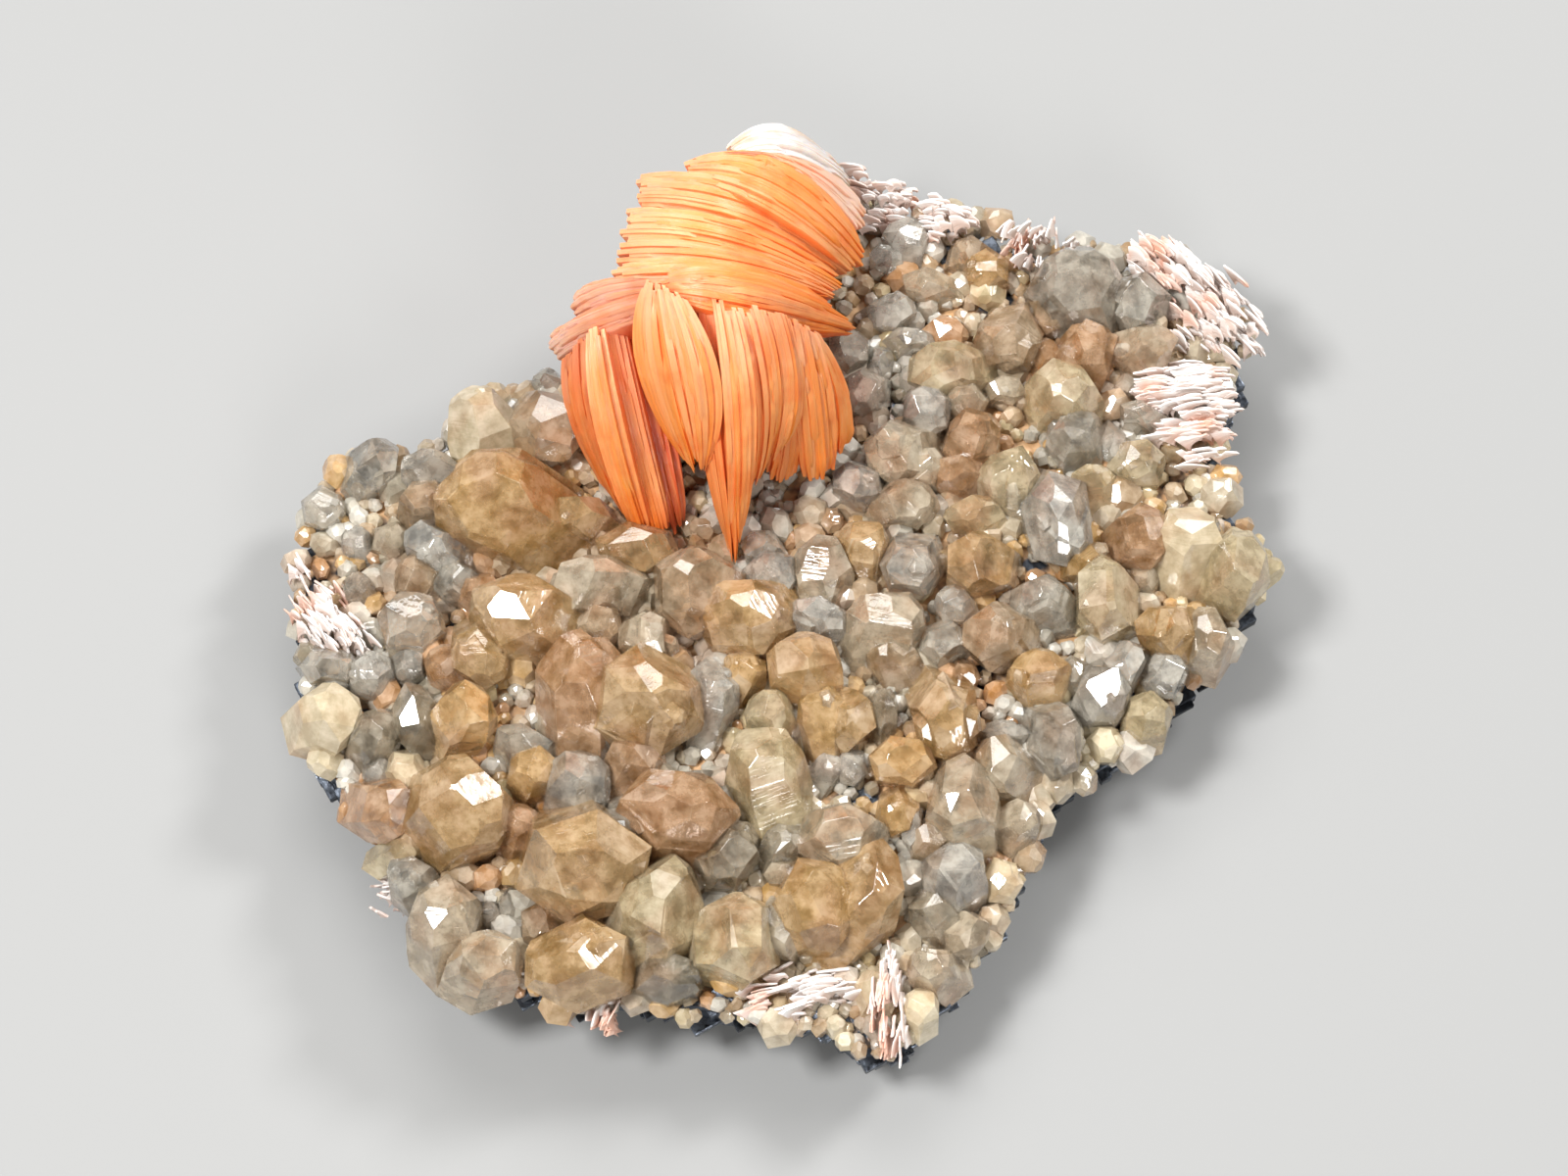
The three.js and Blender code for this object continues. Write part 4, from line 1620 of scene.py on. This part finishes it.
ORANGE = BladeColours(srgb(255, 184, 142), srgb(254, 146, 66), srgb(252, 136, 28),
                      srgb(255, 172, 116), srgb(200, 62, 6))
PALE = BladeColours(srgb(240, 236, 233), srgb(238, 230, 225), srgb(236, 218, 208),
                    srgb(244, 242, 240), srgb(214, 190, 176))
SALMON = BladeColours(srgb(254, 168, 120), srgb(250, 172, 132), srgb(252, 204, 180),
                      srgb(255, 216, 200), srgb(204, 84, 30))
Line = tuple[float, float, float, float, float, float, float, float, float]


@dataclass(frozen=True)
class Sheaf:
    """A sheaf of barite blades side by side: the lines of its first and its last blade in the
    photo, each as column, row and height at crest, middle and tip."""

    first: Line
    last: Line
    count: int
    # How much painted shade its blades carry, for sheaves that lie in shadow
    shade: float = 0.0
    colours: BladeColours = ORANGE

    @staticmethod
    def points(line: Line) -> list[Vector]:
        """The three points of a line, in millimetres.

        Args:
            line: the line.

        Returns:
            The points.
        """
        return [PICTURE.at(*line[i:i + 3]) for i in (0, 3, 6)]


@dataclass(frozen=True)
class Fan:
    """A fan of orange barite: its sheaves, and the root they share."""

    name: str
    root: tuple[float, float, float, float]
    seed: int
    sheaves: tuple[Sheaf, ...]
    form: BladeForm = BladeForm()
    overlap: float = 0.85
    sharp: float = 42.0
    depth: float = 0.5
    crown: Span = (0.35, 0.65)
    jitter: float = 0.25
    starts: Span = (-0.04, 0.03)
    shorter: Span = (0.0, 0.1)
    ragged: float = 0.03
    rounded: float = 0.7
    uneven: float = 0.35

    def root_of(self, crest: Vector, tip: Vector) -> Vector:
        """Where a blade from crest to tip is rooted in the plate.

        Args:
            crest: where the blade starts.
            tip: where it ends.

        Returns:
            The point in millimetres.
        """
        column, row, along, pull = self.root
        root = crest.lerp(tip, along).lerp(PICTURE.at(column, row, TOP.crown), pull)
        root.z = TOP.height(root.x, root.y) - self.depth
        return root

    def build(self, finish: bpy.types.Material) -> None:
        """Builds the fan in place of its CAD node.

        Args:
            finish: its material.
        """
        draw = Draw(self.seed)
        draft = Draft()
        for sheaf in self.sheaves:
            first, last = sheaf.points(sheaf.first), sheaf.points(sheaf.last)
            half = [(b - a) * (self.overlap / (sheaf.count - 1)) for a, b in zip(first, last)]
            crown = draw.between(*self.crown)
            for number in range(sheaf.count):
                share = (number + draw.either_way(self.jitter)) / (sheaf.count - 1)
                edge = [a.lerp(b, share) for a, b in zip(first, last)]
                off = abs(share - crown) / self.crown[1]
                cut = Cut(
                    start=draw.between(*self.starts),
                    end=1 - off * draw.between(*self.shorter) - draw() * self.ragged,
                    sunk=off ** 2 * self.rounded + draw() ** 3 * self.uneven,
                    across=share * (first[1] - last[1]).length,
                    tone=draw.either_way(1),
                    shade=sheaf.shade,
                )
                blade = Blade(edge, half, self.root_of(edge[0], edge[2]))
                self.form.grow(draft, blade, draw, sheaf.colours, cut)
        piece = draft.piece(f"{self.name}_blades", [finish], self.sharp)
        dress(piece, "orange_barite", self.name)


# A number after a sheaf's count is its painted shade
FANS = [
    Fan("barite_fan_lower", (735, 300, 0, 0.3), 31, (
        Sheaf((574, 362, 26, 584, 440, 19, 630, 522, 12),
              (600, 345, 27, 612, 440, 21, 642, 532, 12), 7, 0.5),
        Sheaf((598, 342, 30, 609, 445, 25, 648, 552, 12.5),
              (613, 338, 30, 634, 445, 24.5, 666, 562, 12.5), 6),
        Sheaf((612, 338, 28, 636, 445, 22.5, 668, 563, 12),
              (634, 330, 28, 660, 445, 22, 690, 567, 12), 6, 0.2),
        Sheaf((632, 325, 27, 655, 440, 20, 688, 560, 12),
              (652, 325, 28, 684, 445, 20, 700, 545, 12), 5, 0.8),
        Sheaf((657, 288, 36, 652, 378, 30, 704, 484, 20),
              (674, 293, 37, 691, 390, 31, 713, 487, 20.5), 8),
        Sheaf((672, 294, 37.3, 690, 390, 31.6, 714, 488, 21),
              (696, 300, 37, 733, 395, 31.4, 719, 485, 21), 9),
        Sheaf((702, 305, 34, 716, 445, 24.5, 744, 572, 12.5),
              (728, 310, 35, 748, 445, 26.5, 752, 588, 12), 7, 0.3),
        Sheaf((730, 312, 36, 744, 440, 28, 745, 568, 13.5),
              (752, 312, 36.3, 771, 430, 28.5, 757, 562, 13.5), 8),
        Sheaf((752, 314, 36.2, 772, 420, 28, 766, 504, 17),
              (780, 318, 35.5, 796, 410, 27.5, 779, 488, 17), 8),
        Sheaf((778, 318, 35.5, 792, 400, 28.2, 778, 484, 18.5),
              (806, 326, 35, 819, 400, 27.7, 808, 452, 22), 8),
        Sheaf((788, 340, 31, 794, 430, 23, 782, 502, 15.5),
              (814, 345, 31, 818, 430, 23, 811, 492, 15), 7, 0.2),
        Sheaf((806, 328, 34.3, 815, 410, 26, 824, 498, 15),
              (832, 338, 33.5, 850, 410, 25.6, 853, 494, 15), 8, 0.1),
        Sheaf((822, 335, 33.6, 846, 405, 26, 848, 474, 17),
              (838, 342, 32, 867, 405, 22.5, 868, 460, 15), 6),
    )),
    Fan("barite_fan_upper", (742, 282, 0.35, 0.2), 47, (
        Sheaf((672, 296, 34, 600, 317, 30, 552, 346, 25),
              (676, 316, 32, 604, 340, 28, 562, 364, 23), 7, 0.1, SALMON),
        Sheaf((692, 283, 35, 618, 283, 33, 576, 306, 28),
              (700, 298, 34, 634, 302, 32, 584, 322, 27), 7, 0.0, SALMON),
        Sheaf((744, 145, 27, 798, 126, 25, 858, 165, 17),
              (748, 158, 29, 812, 152, 28, 880, 192, 16), 9, 0.0, PALE),
        Sheaf((748, 158, 29.5, 814, 160, 29, 884, 198, 16.5),
              (704, 160, 30, 806, 168, 30, 892, 252, 17), 10, 0.0, SALMON),
        Sheaf((703, 160, 30, 806, 164, 30, 892, 254, 17),
              (704, 181, 31, 790, 212, 31.5, 882, 281, 17), 12),
        Sheaf((656, 177, 30.5, 772, 192, 31.5, 882, 268, 17),
              (651, 206, 31, 760, 224, 32, 870, 284, 17.5), 10, 0.1),
        Sheaf((642, 211, 32, 752, 224, 33, 872, 283, 18.5),
              (637, 238, 32, 750, 250, 33, 864, 299, 19), 9),
        Sheaf((636, 242, 32.5, 748, 250, 33.4, 862, 295, 20),
              (636, 270, 33, 752, 275, 34, 860, 306, 21), 9, 0.1),
        Sheaf((627, 271, 33.5, 748, 268, 34.7, 862, 312, 22),
              (628, 285, 33, 750, 288, 34.5, 858, 320, 22), 6, 0.0),
        Sheaf((676, 281, 35.5, 772, 279, 35.6, 884, 332, 19),
              (688, 303, 35, 768, 322, 33.5, 878, 338, 18.5), 10),
    )),
]


UPWARDS = Vector((0, 0, 1))
THICKET_FORM = BladeForm(9, (0.0, 0.08, 0.4, 1.0), (0.6, 0.95, 1.0, 0.8), 0.6)


@dataclass
class Thicket:
    """A thicket of pale barite blades: the box of its CAD node is filled with blades that point
    about one way."""

    name: str
    count: int
    length: Span
    heading: float
    spread: float
    lean: Span
    seed: int
    sharp: float = 42.0
    upward: float = 0.05
    rise: float = 0.25
    lift: Span = (0.1, 0.5)
    ends: float = -0.1
    halves: Span = (0.08, 0.15)
    depths: Span = (1.4, 2.4)

    def build(self, finish: bpy.types.Material) -> None:
        """Builds the thicket in place of its CAD node.

        Args:
            finish: its material.
        """
        draw = Draw(self.seed)
        draft = Draft()
        mesh = frame["nodes"][self.name].data
        corners = [v.co / MM for v in mesh.vertices]
        faces = [p for p in mesh.polygons if p.normal.z > self.upward]
        for _ in range(self.count):
            face = draw.pick(faces)
            a, b, c = (corners[i] for i in face.vertices[:3])
            spot = a.lerp(b, draw()).lerp(c, draw())
            length = draw.between(*self.length)
            heading = math.radians(self.heading + draw.either_way(self.spread))
            lean = math.radians(draw.between(*self.lean))
            climb = draw.either_way(self.rise)
            along = Vector((math.cos(heading), math.sin(heading), climb)).normalized()
            side = UPWARDS.cross(along).normalized()
            up = (UPWARDS * math.cos(lean) + side * math.sin(lean)).normalized()
            lift = draw.between(*self.lift)
            edge = [spot + along * (length * part) + up * rise
                    for part, rise in ((-0.5, self.ends), (0.0, lift), (0.5, self.ends))]
            half = [up.cross(along) * draw.between(*self.halves)] * 3
            cut = Cut(tone=draw.either_way(1), across=draw() * 20)
            blade = Blade(edge, half, spot - up * draw.between(*self.depths))
            THICKET_FORM.grow(draft, blade, draw, PALE, cut)
        piece = draft.piece(f"{self.name}_thicket", [finish], self.sharp)
        dress(piece, "pale_barite", self.name)


THICKETS = [
    Thicket("barite_north_rim", 150, (1.2, 3.0), -12, 12, (-15, 30), 61),
    Thicket("barite_north_blades", 60, (1.2, 2.6), 60, 30, (-10, 30), 62),
    Thicket("barite_east_bump", 260, (1.6, 3.6), -48, 10, (-15, 30), 63),
    Thicket("barite_east_stack", 200, (2.0, 4.0), 4, 8, (-10, 30), 64),
    Thicket("barite_south_tip", 110, (1.6, 3.2), 85, 12, (-15, 30), 65),
    Thicket("barite_south_blades", 100, (1.6, 3.6), 14, 14, (-15, 30), 66),
    Thicket("barite_southwest_blades", 50, (1.6, 2.9), 60, 18, (-15, 40), 67),
    Thicket("barite_west_patch", 130, (1.6, 3.2), -50, 14, (-15, 30), 68),
    Thicket("barite_southwest_spikes", 40, (1.2, 2.2), 170, 24, (-15, 40), 69),
]


@dataclass
class GalenaPlate:
    """The galena: the CAD plate with its finish, and the cleavage blocks on its broken sides."""

    seed: int = 3
    density: float = 260000.0
    smallest: Spot = (0.7, 0.7, 0.5)
    largest: Spot = (3.4, 3.4, 2.0)
    lattice: Spot = (0.16, -0.1, 0.5)
    sink: float = 0.55
    lowest: float = 1.75
    bevel: float = 0.035
    steepest: float = 0.5
    crusted: float = 0.6
    crust_from: float = 3.0

    def build(self) -> None:
        """Dresses the plate and builds its blocks."""
        finish = GalenaFinish().make()
        plate = frame["nodes"]["galena_matrix"]
        plate.data.materials.clear()
        plate.data.materials.append(finish)
        crust = plate.data.attributes.new("crust", "FLOAT", "FACE")
        crust.data.foreach_set("value", [
            float(p.normal.z > self.crusted and p.center.z > self.crust_from * MM)
            for p in plate.data.polygons])
        dress(self.blocks(plate, finish), "galena")

    def blocks(self, plate: bpy.types.Object, finish: bpy.types.Material) -> bpy.types.Object:
        """The cleavage blocks, set on the plate's sides by a tree of nodes.

        Args:
            plate: the CAD node.
            finish: their material.

        Returns:
            The object.
        """
        base = bpy.data.objects.new("cleavage_places", plate.data.copy())
        bpy.context.scene.collection.objects.link(base)
        shape = bmesh.new()
        bmesh.ops.create_cube(shape, size=1.0)
        bmesh.ops.bevel(shape, geom=list(shape.edges), offset=self.bevel, segments=1, affect="EDGES")
        data = bpy.data.meshes.new("cleavage_block")
        shape.to_mesh(data)
        shape.free()
        block = bpy.data.objects.new("cleavage_block", data)
        growth = Growth("cleavage_blocks", {
            "Block": ("NodeSocketObject", block),
            "Finish": ("NodeSocketMaterial", finish),
            "Seed": ("NodeSocketInt", self.seed),
            "Density": ("NodeSocketFloat", self.density),
            "Smallest": ("NodeSocketVector", [s * MM for s in self.smallest]),
            "Largest": ("NodeSocketVector", [s * MM for s in self.largest]),
            "Lowest": ("NodeSocketFloat", self.lowest * MM),
            "Sink": ("NodeSocketFloat", self.sink * MM),
            "Steepest": ("NodeSocketFloat", self.steepest),
        })
        normal = growth.value("GeometryNodeInputNormal")
        place = growth.value("GeometryNodeInputPosition")
        upward = growth.value("ShaderNodeSeparateXYZ", None, {0: normal}, output="Z")
        height = growth.value("ShaderNodeSeparateXYZ", None, {0: place}, output="Z")
        outward = growth.value("FunctionNodeCompare", {"operation": "LESS_THAN"}, {
            0: upward, 1: growth.given("Steepest")})
        high = growth.value("FunctionNodeCompare", {"operation": "GREATER_THAN"}, {
            0: height, 1: growth.given("Lowest")})
        both = growth.value("FunctionNodeBooleanMath", {"operation": "AND"}, {0: outward, 1: high})
        spread = add_node(growth.tree, "GeometryNodeDistributePointsOnFaces", None, {
            "Mesh": growth.given("Geometry"), "Selection": both,
            "Density": growth.given("Density"), "Seed": growth.given("Seed")})
        sizes = growth.value("FunctionNodeRandomValue", {"data_type": "FLOAT_VECTOR"}, {
            0: growth.given("Smallest"), 1: growth.given("Largest"), "Seed": growth.given("Seed")})
        inward = growth.value("ShaderNodeVectorMath", {"operation": "SCALE"}, {
            0: Value(growth.tree, spread.outputs["Normal"]), "Scale": growth.given("Sink") * -1.0})
        low = growth.value("FunctionNodeCompare", {"operation": "LESS_THAN"}, {
            0: height, 1: growth.given("Lowest")})
        kept = growth.value("GeometryNodeDeleteGeometry", None, {
            "Geometry": Value(growth.tree, spread.outputs["Points"]), "Selection": low})
        moved = growth.value("GeometryNodeSetPosition", None, {"Geometry": kept, "Offset": inward})
        item = growth.value("GeometryNodeObjectInfo", None, {
            "Object": growth.given("Block")}, output="Geometry")
        placed = growth.value("GeometryNodeInstanceOnPoints", None, {
            "Points": moved, "Instance": item, "Rotation": self.lattice, "Scale": sizes})
        growth.close(placed, "Finish")
        made = growth.apply(base, "galena_cleavage_blocks")
        bpy.data.objects.remove(block)
        return made


@dataclass(frozen=True)
class Lamp:
    """A square soft light: its name, where it stands and its side in metres, its power in watts."""

    name: str
    place: Spot
    side: float
    power: float


LAMPS = [
    Lamp("key", (-0.3, -0.1, 0.6), 0.16, 4.4),
    Lamp("rim", (0.4, 0.25, 0.5), 0.14, 2.7),
    Lamp("front", (0.2, -0.55, 0.4), 0.2, 1.4),
    Lamp("back", (-0.05, 0.3, 0.5), 0.3, 1.4),
]


@dataclass(frozen=True)
class Studio:
    """A pale floor and soft light."""

    floor: Colour = srgb(156, 156, 155)
    reach: float = 1.5
    roughness: float = 0.8
    cloud_scale: float = 3.0
    sky: tuple[float, float, float, float] = (1.0, 0.985, 0.96, 1)
    strength: float = 0.27
    aim: Spot = (0, 0, 0.012)

    def build(self) -> None:
        """Builds the floor, the lights and the camera."""
        data = bpy.data.meshes.new("floor")
        r = self.reach
        data.from_pydata([(-r, -r, 0), (r, -r, 0), (r, r, 0), (-r, r, 0)], [], [(0, 1, 2, 3)])
        floor = bpy.data.objects.new("floor", data)
        bpy.context.scene.collection.objects.link(floor)
        finish = Finish("floor")
        cloud = finish.noise(finish.place(), self.cloud_scale)
        colour = finish.mix(cloud, self.floor, blend_colours(self.floor, WHITE, 0.06))
        data.materials.append(finish.surface({"Base Color": colour, "Roughness": self.roughness}))
        world = bpy.data.worlds.new("studio")
        world.use_nodes = True
        sky = world.node_tree.nodes["Background"]
        sky.inputs["Color"].default_value = self.sky
        sky.inputs["Strength"].default_value = self.strength
        bpy.context.scene.world = world
        for lamp in LAMPS:
            self.light(lamp)
        bpy.context.scene.view_settings.view_transform = "Standard"
        bpy.context.scene.camera = PICTURE.camera()

    def light(self, lamp: Lamp) -> None:
        """Builds a light that looks at the specimen.

        Args:
            lamp: the light.
        """
        data = bpy.data.lights.new(lamp.name, "AREA")
        data.size = lamp.side
        data.energy = lamp.power
        light = bpy.data.objects.new(lamp.name, data)
        light.location = lamp.place
        aim = Vector(self.aim) - Vector(lamp.place)
        light.rotation_euler = aim.to_track_quat("-Z", "Y").to_euler()
        bpy.context.scene.collection.objects.link(light)


ORANGE_BARITE = BariteFinish("orange_barite", (1.0, 0.42, 0.14), 0.2, (0.32, 0.5),
                             srgb(255, 182, 116), srgb(246, 206, 166))
PALE_BARITE = BariteFinish("pale_barite", (1.0, 0.9, 0.84), 0.0, (0.28, 0.5),
                           srgb(248, 242, 238), srgb(246, 186, 152))


def main() -> None:
    """Builds the specimen, piece by piece."""
    logging.basicConfig(level=logging.INFO, format="%(name)s: %(message)s")
    Studio().build()
    GalenaPlate().build()
    Druse().build()
    orange = ORANGE_BARITE.make()
    pale = PALE_BARITE.make()
    for fan in FANS:
        fan.build(orange)
    for thicket in THICKETS:
        thicket.build(pale)


if __name__ == "__main__":
    main()
